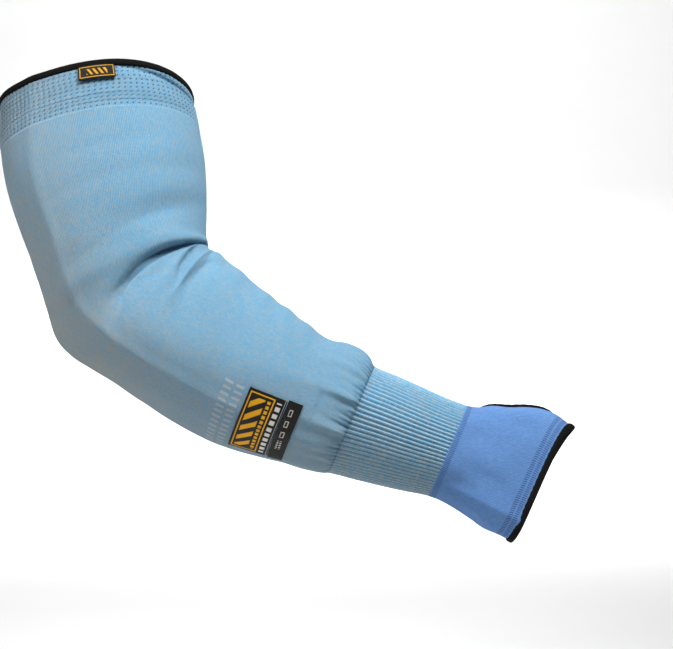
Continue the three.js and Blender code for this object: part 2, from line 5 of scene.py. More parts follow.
import bpy
import numpy as np
from bpy.props import FloatProperty, FloatVectorProperty, IntProperty, PointerProperty
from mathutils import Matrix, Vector


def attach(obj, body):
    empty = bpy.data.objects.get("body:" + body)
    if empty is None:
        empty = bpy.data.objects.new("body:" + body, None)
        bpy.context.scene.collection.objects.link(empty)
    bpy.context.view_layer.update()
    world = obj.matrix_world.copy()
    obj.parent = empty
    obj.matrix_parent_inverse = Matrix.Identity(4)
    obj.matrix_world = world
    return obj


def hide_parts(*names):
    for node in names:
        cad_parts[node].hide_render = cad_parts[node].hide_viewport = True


bl_info = {
    "name": "Knitted Sleeve",
    "version": (1, 0, 0),
    "blender": (4, 5, 0),
    "location": "3D View > Sidebar > Sleeve",
    "description": "Dresses the solids of a knitted cut-resistant sleeve with its knit, bindings and prints",
    "category": "Object",
}

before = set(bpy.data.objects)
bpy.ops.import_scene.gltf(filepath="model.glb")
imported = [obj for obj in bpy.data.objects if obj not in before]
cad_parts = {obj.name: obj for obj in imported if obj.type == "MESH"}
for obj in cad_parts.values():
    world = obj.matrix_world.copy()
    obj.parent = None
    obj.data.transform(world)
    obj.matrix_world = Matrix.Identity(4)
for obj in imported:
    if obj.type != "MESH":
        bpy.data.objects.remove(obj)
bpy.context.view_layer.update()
BODY = "root"

# Lengths are in millimetres until a mesh is made. s is the station along the arm's middle line, from the top
# opening to the hand, and angles run round the arm from the inside of the elbow's bend towards the viewer.
# The sizes here and the tables SECTIONS, FOLDS, GATHERS and PRESSED_PATH are those of the solids.
MM = 0.001
TURN = 2 * math.pi

UPPER_REACH = 102.0
ELBOW_RADIUS = 71.0
ELBOW_TURN = 59.4
ELBOW_REACH = ELBOW_RADIUS * math.radians(ELBOW_TURN)
FOREARM_REACH = 125.5
RIB_LENGTH = 65.0
CUFF_LENGTH = 66.5
WRIST_BEND = 16.0
WRIST_TURN = 3.7
UPPER_SLOPE = 82.6
ELBOW_FORWARD = 42.0

KNIT_WALL = 1.4
BAND_END = 30.0
RIB_COUNT = 70
RIB_HEIGHT = 0.7
FOLD_WIDTH = 6.0
FOLD_DEPTH = 5.0
GATHER_HEIGHT = 1.5
GATHER_REACH = 62.0
PRESS_HEIGHT = 0.9
PRESSED_SPREAD = math.radians(6)
PRESSED_FADE = 12.0

TOP_SLANT = 5.5
TOP_BOW = 8.0
BAND_BOW = 3.5
HAND_SLANT = 7.5
HAND_BOW = 4.5
HAND_FAR_BOW = 2.5
BOW_ANGLE = math.radians(56)

TAPE = 0.9
TAPE_CLEARANCE = 0.3
THUMB_CLEARANCE = 0.45
TOP_BINDING_WIDTH = 4.8
HAND_BINDING_WIDTH = 4.6
THUMB_BINDING_WIDTH = 4.0
EDGE_INSET = TAPE + TAPE_CLEARANCE

THUMB_HOLE_LENGTH = 42.0
THUMB_HOLE_WIDTH = 20.0
THUMB_HOLE_TO_RIM = 33.0
THUMB_ANGLE = math.radians(-29)
THENAR_HEIGHT = 15.0
THENAR_ANGLE = math.radians(-54)
THENAR_LENGTH = 29.0
THENAR_SPREAD = math.radians(22)

TRIM_LIFT = 0.5
TRANSFER_THICKNESS = 0.4
MAIN_PATCH_LENGTH = 25.5
PATCH_WIDTH = 48.0
MAIN_PATCH_TO_RIB = 67.0
SIZE_PATCH_LENGTH = 9.8
PATCH_GAP = 0.7
PATCH_ANGLE = math.radians(129)
TAB_LENGTH = 9.5
TAB_WIDTH = 23.0
TAB_THICKNESS = 1.0
TAB_STAND = 1.2
TAB_ANGLE = math.radians(85)

GIRTHS = {"upper": (131, 105), "elbow": (117, 88), "forearm": (108, 88), "wrist": (65, 46), "hand": (87, 40)}


def table(columns, rows):
    """Turns rows of values into dictionaries with named columns."""
    return [dict(zip(columns, row)) for row in rows]


# Sections across the arm. along is a share of the stretch. inner and outer are shares of the girth's breadth,
# near and far of its depth. full is how much fuller than an oval the section is. forward is a share of
# ELBOW_FORWARD.
SECTIONS = table(
    ("stretch", "along", "girth", "inner", "outer", "near", "far", "full", "forward"),
    (
        ("upper", 0.0, "upper", 0.467, 0.506, 0.495, 0.495, 0.0, 0.0),
        ("upper", 0.26, "upper", 0.489, 0.522, 0.51, 0.505, 0.0, 0.2),
        ("upper", 0.52, "upper", 0.499, 0.509, 0.51, 0.505, 0.0, 0.41),
        ("upper", 0.78, "upper", 0.484, 0.466, 0.495, 0.495, 0.0, 0.61),
        ("upper", 1.0, "upper", 0.462, 0.419, 0.467, 0.476, 0.0, 0.78),
        ("elbow", 0.14, "elbow", 0.522, 0.447, 0.534, 0.545, 0.0, 0.84),
        ("elbow", 0.28, "elbow", 0.519, 0.451, 0.523, 0.523, 0.0, 0.89),
        ("elbow", 0.43, "elbow", 0.515, 0.478, 0.511, 0.511, 0.0, 0.93),
        ("elbow", 0.54, "elbow", 0.511, 0.463, 0.511, 0.5, 0.0, 0.96),
        ("elbow", 0.65, "elbow", 0.507, 0.43, 0.517, 0.5, 0.0, 0.98),
        ("elbow", 0.79, "elbow", 0.507, 0.407, 0.523, 0.5, 0.0, 0.99),
        ("elbow", 0.92, "elbow", 0.508, 0.414, 0.528, 0.5, 0.0, 1.0),
        ("forearm", 0.075, "forearm", 0.531, 0.477, 0.528, 0.5, 0.0, 1.01),
        ("forearm", 0.18, "forearm", 0.494, 0.494, 0.523, 0.494, 0.0, 1.02),
        ("forearm", 0.28, "forearm", 0.462, 0.505, 0.511, 0.489, 0.0, 1.03),
        ("forearm", 0.385, "forearm", 0.426, 0.51, 0.5, 0.477, 0.0, 1.05),
        ("forearm", 0.495, "forearm", 0.398, 0.502, 0.483, 0.46, 0.0, 1.06),
        ("forearm", 0.6, "forearm", 0.363, 0.487, 0.466, 0.443, 0.0, 1.07),
        ("forearm", 0.705, "forearm", 0.336, 0.469, 0.449, 0.42, 0.0, 1.08),
        ("forearm", 0.755, "forearm", 0.335, 0.458, 0.443, 0.415, 0.0, 1.09),
        ("forearm", 0.81, "forearm", 0.351, 0.451, 0.437, 0.41, 0.0, 1.09),
        ("forearm", 0.865, "forearm", 0.352, 0.443, 0.432, 0.403, 0.0, 1.1),
        ("forearm", 0.915, "forearm", 0.343, 0.431, 0.42, 0.392, 0.0, 1.11),
        ("forearm", 0.965, "forearm", 0.322, 0.418, 0.398, 0.38, 0.0, 1.12),
        ("rib", 0.0, "wrist", 0.491, 0.668, 0.696, 0.674, 0.0, 1.12),
        ("rib", 0.25, "wrist", 0.492, 0.628, 0.641, 0.62, 0.0, 1.13),
        ("rib", 0.5, "wrist", 0.489, 0.586, 0.587, 0.565, 0.0, 1.15),
        ("rib", 0.75, "wrist", 0.484, 0.538, 0.543, 0.522, 0.0, 1.16),
        ("rib", 1.0, "wrist", 0.496, 0.487, 0.5, 0.5, 0.0, 1.18),
        ("cuff", 0.12, "hand", 0.39, 0.365, 0.55, 0.56, 0.01, 1.19),
        ("cuff", 0.27, "hand", 0.438, 0.382, 0.525, 0.56, 0.02, 1.2),
        ("cuff", 0.42, "hand", 0.467, 0.406, 0.507, 0.56, 0.04, 1.21),
        ("cuff", 0.57, "hand", 0.509, 0.437, 0.49, 0.55, 0.05, 1.22),
        ("cuff", 0.72, "hand", 0.536, 0.448, 0.475, 0.54, 0.06, 1.23),
        ("cuff", 0.87, "hand", 0.535, 0.466, 0.458, 0.512, 0.06, 1.24),
        ("cuff", 1.0, "hand", 0.506, 0.481, 0.437, 0.487, 0.06, 1.25),
        ("cuff", 1.12, "hand", 0.475, 0.485, 0.425, 0.475, 0.06, 1.26),
    ),
)

# Folds that run round the arm. angle is where the fold's middle is and reach is how far it runs each way, in
# degrees. drift and bow move it along the arm, as shares of ELBOW_RADIUS. width and depth are shares of
# FOLD_WIDTH and FOLD_DEPTH, and a negative depth is a groove.
FOLD_COLUMNS = ("name", "stretch", "along", "angle", "reach", "drift", "bow", "width", "depth")
FOLDS = table(
    FOLD_COLUMNS,
    (
        ("edge roll", "upper", 0.065, 35, 60, -0.155, 0.0, 0.4, -0.22),
        ("upper ripple", "upper", 0.62, 30, 45, 0.08, 0.0, 1.1, -0.12),
        ("upper wrinkle", "upper", 0.9, 50, 62, 0.2, 0.02, 1.2, -0.34),
        ("wrinkle roll", "elbow", 0.08, 48, 62, 0.14, 0.1, 1.2, 0.2),
        ("crease roll", "elbow", 0.2, 50, 75, 0.04, 0.4, 1.3, 0.42),
        ("elbow crease", "elbow", 0.32, 50, 75, 0.04, 0.415, 0.75, -1.15),
        ("crease hollow", "elbow", 0.45, 62, 60, 0.05, 0.4, 2.0, -0.3),
        ("hook roll", "elbow", 0.5, 34, 36, 0.18, 0.0, 0.8, 0.3),
        ("hook crease", "elbow", 0.61, 40, 30, 0.23, 0.0, 0.7, -0.6),
        ("lower roll", "elbow", 0.78, 36, 44, -0.05, 0.2, 0.9, 0.36),
        ("lower valley", "elbow", 0.93, 48, 42, -0.08, 0.31, 0.9, -0.42),
        ("bend bump", "forearm", 0.03, 2, 36, 0.0, 0.05, 0.6, 0.3),
        ("second bump", "forearm", 0.17, 6, 40, -0.04, 0.08, 0.8, 0.24),
        ("third bump", "forearm", 0.35, 8, 42, -0.04, 0.1, 0.8, 0.22),
        ("fourth bump", "forearm", 0.47, 8, 40, -0.04, 0.1, 0.8, 0.2),
        ("fifth bump", "forearm", 0.6, 6, 38, -0.04, 0.1, 0.8, 0.22),
        ("far crease", "elbow", 0.3, -50, 60, -0.1, 0.1, 1.0, -0.7),
        ("far roll", "elbow", 0.1, -50, 60, -0.1, 0.1, 1.4, 0.3),
        ("far valley", "elbow", 0.75, -45, 50, 0.0, 0.1, 1.1, -0.4),
    ),
)

# Finer wrinkles that the solids leave out.
WRINKLES = table(
    FOLD_COLUMNS,
    (
        ("crease line", "elbow", 0.325, 50, 66, 0.04, 0.415, 0.3, -0.7),
        ("crease lip", "elbow", 0.245, 50, 66, 0.04, 0.405, 0.42, 0.3),
        ("edge roll line", "upper", 0.072, 30, 55, -0.155, 0.0, 0.22, -0.3),
        ("edge roll lip", "upper", 0.1, 30, 50, -0.155, 0.0, 0.25, 0.14),
        ("upper soft line", "upper", 0.5, 85, 60, 0.12, -0.05, 0.8, -0.07),
        ("upper second line", "upper", 0.72, 95, 50, 0.16, 0.0, 0.7, -0.08),
        ("upper third line", "upper", 0.98, 70, 45, 0.2, 0.05, 0.5, -0.1),
        ("pocket line", "elbow", 0.52, 78, 34, 0.05, 0.3, 0.5, -0.12),
        ("under line", "elbow", 0.86, 60, 40, 0.02, 0.25, 0.5, -0.1),
        ("forearm line", "forearm", 0.22, 40, 40, -0.05, 0.15, 0.8, -0.08),
        ("forearm second line", "forearm", 0.42, 45, 45, -0.05, 0.2, 0.8, -0.08),
        ("forearm third line", "forearm", 0.66, 40, 40, -0.06, 0.2, 0.7, -0.1),
    ),
)

# The puckers round the arm above the ribs: how many there are to a turn, where they start, their share of the
# height and their share of the reach. FINE_GATHERS are finer than the solids show.
GATHER_COLUMNS = ("count", "phase", "share", "reach")
GATHERS = table(GATHER_COLUMNS, ((9, 20, 0.5, 1.0), (13, 75, 0.5, 1.0)))
FINE_GATHERS = table(GATHER_COLUMNS, ((23, 10, 0.42, 0.7), (35, 130, 0.36, 0.4)))

# Soft wrinkles that run aslant over the cuff: how many to a turn, how they lean in turns for each millimetre
# along, where they start in degrees, and their height. The solids leave them out.
CUFF_WRINKLES = table(
    ("count", "lean", "phase", "height"),
    ((7, 0.0016, 40, 0.35), (12, -0.0012, 200, 0.22)),
)
CUFF_EDGE_HEIGHT = 1.1  # of the pressed edge where it runs on over the cuff

# The path of the edge pressed along the near side by the packing. The far side's edge is half a turn from it.
PRESSED_PATH = table(
    ("stretch", "along", "angle"),
    (
        ("upper", 0.0, 125),
        ("upper", 0.7, 131),
        ("elbow", 0.25, 125),
        ("elbow", 0.55, 119),
        ("forearm", 0.35, 120),
        ("forearm", 0.8, 126),
        ("cuff", 1.0, 127),
    ),
)


def laid_stretches():
    """Where each named stretch starts on the middle line, and how long it is."""
    laid = {}
    start = 0.0
    lengths = (UPPER_REACH, ELBOW_REACH, FOREARM_REACH, RIB_LENGTH, CUFF_LENGTH)
    for name, length in zip(("upper", "elbow", "forearm", "rib", "cuff"), lengths):
        laid[name] = (start, length)
        start += length
    return laid


STRETCHES = laid_stretches()


def station(stretch, along):
    start, length = STRETCHES[stretch]
    return start + along * length


RIB_STATION = station("rib", 0)
WRIST_STATION = station("cuff", 0)
RIM_STATION = station("cuff", 1)
HOLE_STATION = RIM_STATION - THUMB_HOLE_TO_RIM
PATCH_START = RIB_STATION - MAIN_PATCH_TO_RIB
SIZE_PATCH_START = PATCH_START + MAIN_PATCH_LENGTH + PATCH_GAP


def smooth_column(rows, column, scale):
    """One smooth curve through a table's rows for a named column."""
    at = np.array([station(row["stretch"], row["along"]) for row in rows])
    value = np.array([row[column] * scale(row) for row in rows])
    slope = np.empty_like(value)
    slope[1:-1] = (value[2:] - value[:-2]) / (at[2:] - at[:-2])
    slope[0] = (value[1] - value[0]) / (at[1] - at[0])
    slope[-1] = (value[-1] - value[-2]) / (at[-1] - at[-2])

    def curve(s):
        i = np.clip(np.searchsorted(at, s, side="right") - 1, 0, len(at) - 2)
        length = at[i + 1] - at[i]
        t = np.clip((s - at[i]) / length, 0, 1)
        ease = t * t * (3 - 2 * t)
        lean = length * t * (1 - t) * (slope[i] * (1 - t) - slope[i + 1] * t)
        past = slope[0] * np.minimum(s - at[0], 0) + slope[-1] * np.maximum(s - at[-1], 0)
        return value[i] * (1 - ease) + value[i + 1] * ease + lean + past

    return curve


inner_at = smooth_column(SECTIONS, "inner", lambda row: GIRTHS[row["girth"]][0])
outer_at = smooth_column(SECTIONS, "outer", lambda row: GIRTHS[row["girth"]][0])
near_at = smooth_column(SECTIONS, "near", lambda row: GIRTHS[row["girth"]][1])
far_at = smooth_column(SECTIONS, "far", lambda row: GIRTHS[row["girth"]][1])
full_at = smooth_column(SECTIONS, "full", lambda row: 1)
forward_at = smooth_column(SECTIONS, "forward", lambda row: ELBOW_FORWARD)
pressed_at = smooth_column(PRESSED_PATH, "angle", lambda row: math.radians(1))

# The middle line in the side view: straights and arcs, as their lengths and their turns in degrees.
ARCS = (
    (UPPER_REACH, 0.0),
    (ELBOW_REACH, ELBOW_TURN),
    (FOREARM_REACH + RIB_LENGTH, 0.0),
    (WRIST_BEND, WRIST_TURN),
    (CUFF_LENGTH, 0.0),
)


def side_view(s):
    """The middle line's place across and up, and its slope."""
    slope = np.full_like(s, math.radians(UPPER_SLOPE))
    x = np.zeros_like(s)
    z = np.zeros_like(s)
    left = s.copy()
    for i, (length, turn) in enumerate(ARCS):
        walk = left if i == 0 else np.maximum(left, 0)
        if i < len(ARCS) - 1:
            walk = np.minimum(walk, length)
        bend = math.radians(turn) * walk / length
        chord = walk * np.sinc(bend / TURN)
        x += chord * np.cos(slope - bend / 2)
        z -= chord * np.sin(slope - bend / 2)
        slope = slope - bend
        left = left - walk
    return x, z, slope


def wrapped(angle):
    """An angle brought within half a turn of nought."""
    return np.arctan2(np.sin(angle), np.cos(angle))


def hump(x):
    return np.exp(-x * x)


def smooth_step(value, start, end):
    t = np.clip((value - start) / (end - start), 0, 1)
    return t * t * (3 - 2 * t)


def fold_relief(folds, s, angle):
    total = np.zeros_like(s)
    for fold in folds:
        share = wrapped(angle - math.radians(fold["angle"])) / math.radians(fold["reach"])
        moved = ELBOW_RADIUS * (fold["drift"] * share + fold["bow"] * share**2)
        line = station(fold["stretch"], fold["along"]) + moved
        fade = np.clip(1 - share**2, 0, None) ** 2
        total += FOLD_DEPTH * fold["depth"] * fade * hump((s - line) / (FOLD_WIDTH * fold["width"]))
    return total


def gather_relief(gathers, s, angle):
    back = RIB_STATION - s
    total = np.zeros_like(s)
    for row in gathers:
        share = np.clip(back / (GATHER_REACH * row["reach"]), 0, 1)
        strength = np.minimum(1, 8 * share) * (1 - share) ** 1.5
        total += row["share"] * strength * np.cos(row["count"] * angle + math.radians(row["phase"]))
    return GATHER_HEIGHT * total


def pressed_relief(s, angle):
    strength = np.clip((RIB_STATION - s) / PRESSED_FADE, 0, 1)
    near = hump(wrapped(angle - pressed_at(s)) / PRESSED_SPREAD)
    far = hump(wrapped(angle - pressed_at(s) - math.pi) / PRESSED_SPREAD)
    return strength * PRESS_HEIGHT * (near + far)


def thenar_relief(s, angle):
    share = np.clip((s - HOLE_STATION) / THENAR_LENGTH, -1, 1)
    around = hump(wrapped(angle - THENAR_ANGLE) / THENAR_SPREAD)
    return THENAR_HEIGHT * (1 - share**2) ** 1.5 * around


STEP = 0.5
TURN_STEP = 0.01


def outer_face(s, angle):
    """A point on the knit's outer face, as the solids have it."""
    s, angle = np.broadcast_arrays(np.asarray(s, float), np.asarray(angle, float))
    fuller = 1 + full_at(s) * (1 - np.cos(4 * angle)) / 2
    out = fold_relief(FOLDS, s, angle) + gather_relief(GATHERS, s, angle)
    out = out + pressed_relief(s, angle) + thenar_relief(s, angle)
    across = (np.where(np.cos(angle) > 0, inner_at(s), outer_at(s)) * fuller + out) * np.cos(angle)
    through = (np.where(np.sin(angle) > 0, near_at(s), far_at(s)) * fuller + out) * np.sin(angle)
    x, z, slope = side_view(s)
    advance = (forward_at(s + STEP) - forward_at(s - STEP)) / (2 * STEP)
    level = np.zeros_like(s)
    along = np.stack([np.cos(slope), -advance, -np.sin(slope)], -1)
    along /= np.linalg.norm(along, axis=-1, keepdims=True)
    inward = np.stack([np.sin(slope), level, np.cos(slope)], -1)
    nearward = np.cross(along, inward)
    middle = np.stack([x, -forward_at(s), z], -1)
    return middle + inward * across[..., None] + nearward * through[..., None]


def on_sleeve(s, angle, lift=0.0):
    """The same point moved square off the face by lift."""
    along = outer_face(s + STEP, angle) - outer_face(s - STEP, angle)
    around = outer_face(s, angle + TURN_STEP) - outer_face(s, angle - TURN_STEP)
    normal = np.cross(around, along)
    normal /= np.linalg.norm(normal, axis=-1, keepdims=True)
    return outer_face(s, angle) + normal * np.asarray(lift, float)[..., None]


def bow_at(angle):
    return np.maximum(0, np.cos(angle - BOW_ANGLE)) ** 2


def top_rim(angle):
    return TOP_SLANT * np.cos(angle) - TOP_BOW * bow_at(angle)


def band_end(angle):
    return BAND_END - BAND_BOW * bow_at(angle)


def hand_rim(angle):
    bows = HAND_BOW * bow_at(angle) + HAND_FAR_BOW * np.maximum(0, -np.sin(angle))
    return RIM_STATION + HAND_SLANT * np.cos(angle) - bows


def spread_at(s, angle):
    """Millimetres round the sleeve for each radian."""
    tiny = 0.02
    apart = outer_face(s, angle + tiny) - outer_face(s, angle - tiny)
    return float(np.linalg.norm(apart)) / (2 * tiny)


def evenly(count):
    return np.arange(count) * TURN / count


def tan_share(s, angle):
    """How much tan shows: most over the stretched elbow, and along the outer side as painted shade."""
    # The outer side's share greys it towards tan: painted shade on the side away from the light.
    side = smooth_step(np.abs(wrapped(angle - math.radians(20))), math.radians(40), math.radians(150))
    elbow = hump((s - station("elbow", 0.5)) / 45) * smooth_step(np.abs(wrapped(angle)), 1.2, 2.6)
    return 0.16 + 0.3 * side + 0.22 * elbow


def round_shares(points):
    """How far round its row each point is, from 0 to 1, with the first point again at the end."""
    closed = np.concatenate([points, points[:, :1]], axis=1)
    lengths = np.linalg.norm(np.diff(closed, axis=1), axis=2)
    walked = np.concatenate([np.zeros((len(points), 1)), np.cumsum(lengths, axis=1)], axis=1)
    return walked / walked[:, -1:]


def closed_on(values):
    """Repeats the first row and the first column at the end."""
    values = np.concatenate([values, values[:1]], axis=0)
    return np.concatenate([values, values[:, :1]], axis=1)


def outward(points, faces):
    """Whether the faces of a closed shape look outward."""
    a, b, c, d = (points[faces[:, k]] for k in range(4))
    volume = np.einsum("ij,ij->", a, np.cross(b, c)) + np.einsum("ij,ij->", a, np.cross(c, d))
    return volume >= 0


def add_number(mesh, name, values, domain="CORNER"):
    """Writes one number for each corner of each face, or for each point."""
    layer = mesh.attributes.new(name, "FLOAT", domain)
    layer.data.foreach_set("value", np.ascontiguousarray(values, dtype=np.float32).ravel())


def add_piece(name, points, faces, layers, finish, nodes, numbers=None):
    """Makes a mesh of four-cornered faces for its nodes. layers holds a value pair for each corner."""
    points = np.asarray(points).reshape(-1, 3)
    if not outward(points, faces):
        faces = faces[:, ::-1]
        layers = {key: value[:, ::-1] for key, value in layers.items()}
    mesh = bpy.data.meshes.new(name)
    mesh.from_pydata((points * MM).tolist(), [], faces.tolist())
    for key, value in layers.items():
        pairs = np.ascontiguousarray(value, dtype=np.float32).ravel()
        mesh.uv_layers.new(name=key).uv.foreach_set("vector", pairs)
    for key, value in (numbers or {}).items():
        add_number(mesh, key, value, "POINT")
    mesh.shade_smooth()
    mesh.materials.append(finish)
    piece = bpy.data.objects.new(name, mesh)
    bpy.context.scene.collection.objects.link(piece)
    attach(piece, BODY)
    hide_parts(*nodes)
    return piece


def ring_faces(rows, columns):
    """The faces of a sheet that closes on itself both ways, as its rows and columns."""
    i, j = np.meshgrid(np.arange(rows), np.arange(columns), indexing="ij")
    below = (i + 1) % rows
    beside = (j + 1) % columns
    corners = (i * columns + j, i * columns + beside, below * columns + beside, below * columns + j)
    return np.stack(corners, -1)


def ring_corners(values):
    """The values at the corners of those faces, from a sheet that is one row and one column longer."""
    return np.stack([values[:-1, :-1], values[:-1, 1:], values[1:, 1:], values[1:, :-1]], 2)


RIM_STEP = 0.004  # share of a tube's length that keeps its rims crisp


def crisp_shares(count):
    """Shares from 0 to 1, with one more close to each end so that shading doesn't round the rims."""
    return np.concatenate([[0, RIM_STEP], np.linspace(0, 1, count)[1:-1], [1 - RIM_STEP, 1]])


def tube_sheet(angles, start, end, outer_rows, inner_rows, lift):
    """A tube's wall as one closed sheet: down the outer face and back up the inner one. start and end give
    the stations of its rims, and lift says how far the outer face stands off the solids'."""
    outer = crisp_shares(outer_rows)[:, None]
    inner = crisp_shares(inner_rows)[::-1, None]
    first = start(angles)[None, :]
    last = end(angles)[None, :]
    s_outer = first + outer * (last - first)
    s_inner = first + inner * (last - first)
    around = np.broadcast_to(angles, s_outer.shape)
    outside = on_sleeve(s_outer, around, lift(s_outer, around))
    inside = on_sleeve(s_inner, np.broadcast_to(angles, s_inner.shape), np.full(s_inner.shape, -KNIT_WALL))
    points = np.concatenate([outside, inside])
    s = np.concatenate([s_outer, s_inner])
    return points, s, np.broadcast_to(angles, s.shape)


def tube_piece(name, sheet, stitch_count, course_pitch, finish, nodes, slot, keep=None):
    """A knitted tube. Its stitches run evenly round each row."""
    points, s, angle = sheet
    shares = round_shares(points)
    shares = np.concatenate([shares, shares[:1]])
    stations = closed_on(s)
    faces = ring_faces(*s.shape)
    stitches = ring_corners(np.stack([shares * stitch_count, stations / course_pitch], -1))
    places = ring_corners(np.stack([shares, stations * MM], -1))
    if keep is not None:
        faces, stitches, places = faces[keep], stitches[keep], places[keep]
    layers = {"stitches": stitches.reshape(-1, 4, 2), "places": places.reshape(-1, 4, 2)}
    numbers = {"tan_share": tan_share(s, angle)}
    return add_piece(name, points, faces.reshape(-1, 4), layers, finish, nodes, numbers)


def pinned(value):
    """A rim that lies square to the arm at one station."""
    return lambda angle: np.full_like(angle, value)


def fine_relief(s, angle):
    return fold_relief(WRINKLES, s, angle) + gather_relief(FINE_GATHERS, s, angle)


RIB_RUNOUT = 7.0  # how far the ribs show in the knit above them


def rib_wave(s, angle):
    """The ribs' grooves, from 0 on a ridge to 1 in a groove."""
    shares = round_shares(outer_face(s, angle))[:, :-1]
    return (0.5 - 0.5 * np.cos(TURN * RIB_COUNT * shares)) ** 0.7


def first_grooves(s, angle):
    """The first of the ribs' grooves, which reach up the arm tube by uneven lengths."""
    runout = RIB_RUNOUT * (1 + 0.5 * np.cos(11 * angle) + 0.3 * np.cos(17 * angle + 1))
    return np.clip(1 - (RIB_STATION - s) / runout, 0, 1) * rib_wave(s, angle)


def tube_lift(s, angle):
    return fine_relief(s, angle) - RIB_HEIGHT * first_grooves(s, angle)


BAND_RIPPLE = 0.22
BAND_COLUMNS = 95
DOT_ROW_PITCH = 2.8
DOT_DEPTH = 0.3
DOT_ROWS_START = 5.5  # top rim to the first row of dots


def band_lift(s, angle):
    """The open-work band's face: a soft rib for each column of holes, and a dent at each hole."""
    shares = round_shares(outer_face(s, angle))[:, :-1]
    column = TURN * BAND_COLUMNS * shares
    row = TURN * (band_end(angle) - s) / DOT_ROW_PITCH
    ripple = BAND_RIPPLE * (0.5 + 0.5 * np.cos(column))
    dent = DOT_DEPTH * hump((1 - np.cos(column - math.pi)) / 0.5) * hump((1 - np.cos(row - math.pi)) / 0.6)
    inside = smooth_step(s - top_rim(angle), DOT_ROWS_START - 2, DOT_ROWS_START)
    inside = inside * smooth_step(band_end(angle) - s, 0, 3)
    return fine_relief(s, angle) + (ripple - dent) * inside


def cuff_lift(s, angle):
    """The cuff's soft wrinkles and pressed edge, which run out at its ends and round the thumb hole."""
    total = np.zeros_like(s)
    for row in CUFF_WRINKLES:
        leaning = TURN * row["lean"] * row["count"] * (s - WRIST_STATION)
        total += row["height"] * np.cos(row["count"] * angle + leaning + math.radians(row["phase"]))
    fade = smooth_step(s, WRIST_STATION, WRIST_STATION + 12) * smooth_step(RIM_STATION - s, 8, 24)
    away = smooth_step(np.abs(wrapped(angle - THUMB_ANGLE)), 0.5, 0.9)
    edge = hump(wrapped(angle - pressed_at(s)) / math.radians(7))
    edge = edge * smooth_step(s, WRIST_STATION + 4, WRIST_STATION + 20)
    return total * fade * away + CUFF_EDGE_HEIGHT * edge


def hole_distance(s, angle, spread):
    """How far out a place on the cuff is from the thumb hole's middle, as a share of the raw edge's oval."""
    along = (s - HOLE_STATION) / (THUMB_HOLE_LENGTH / 2 + EDGE_INSET)
    across = wrapped(angle - THUMB_ANGLE) * spread / (THUMB_HOLE_WIDTH / 2 + EDGE_INSET)
    return np.hypot(along, across)


def srgb(red, green, blue):
    """A colour given by its screen values from 0 to 255."""
    shares = (channel / 255 for channel in (red, green, blue))
    return tuple(c / 12.92 if c <= 0.04045 else ((c + 0.055) / 1.055) ** 2.4 for c in shares)


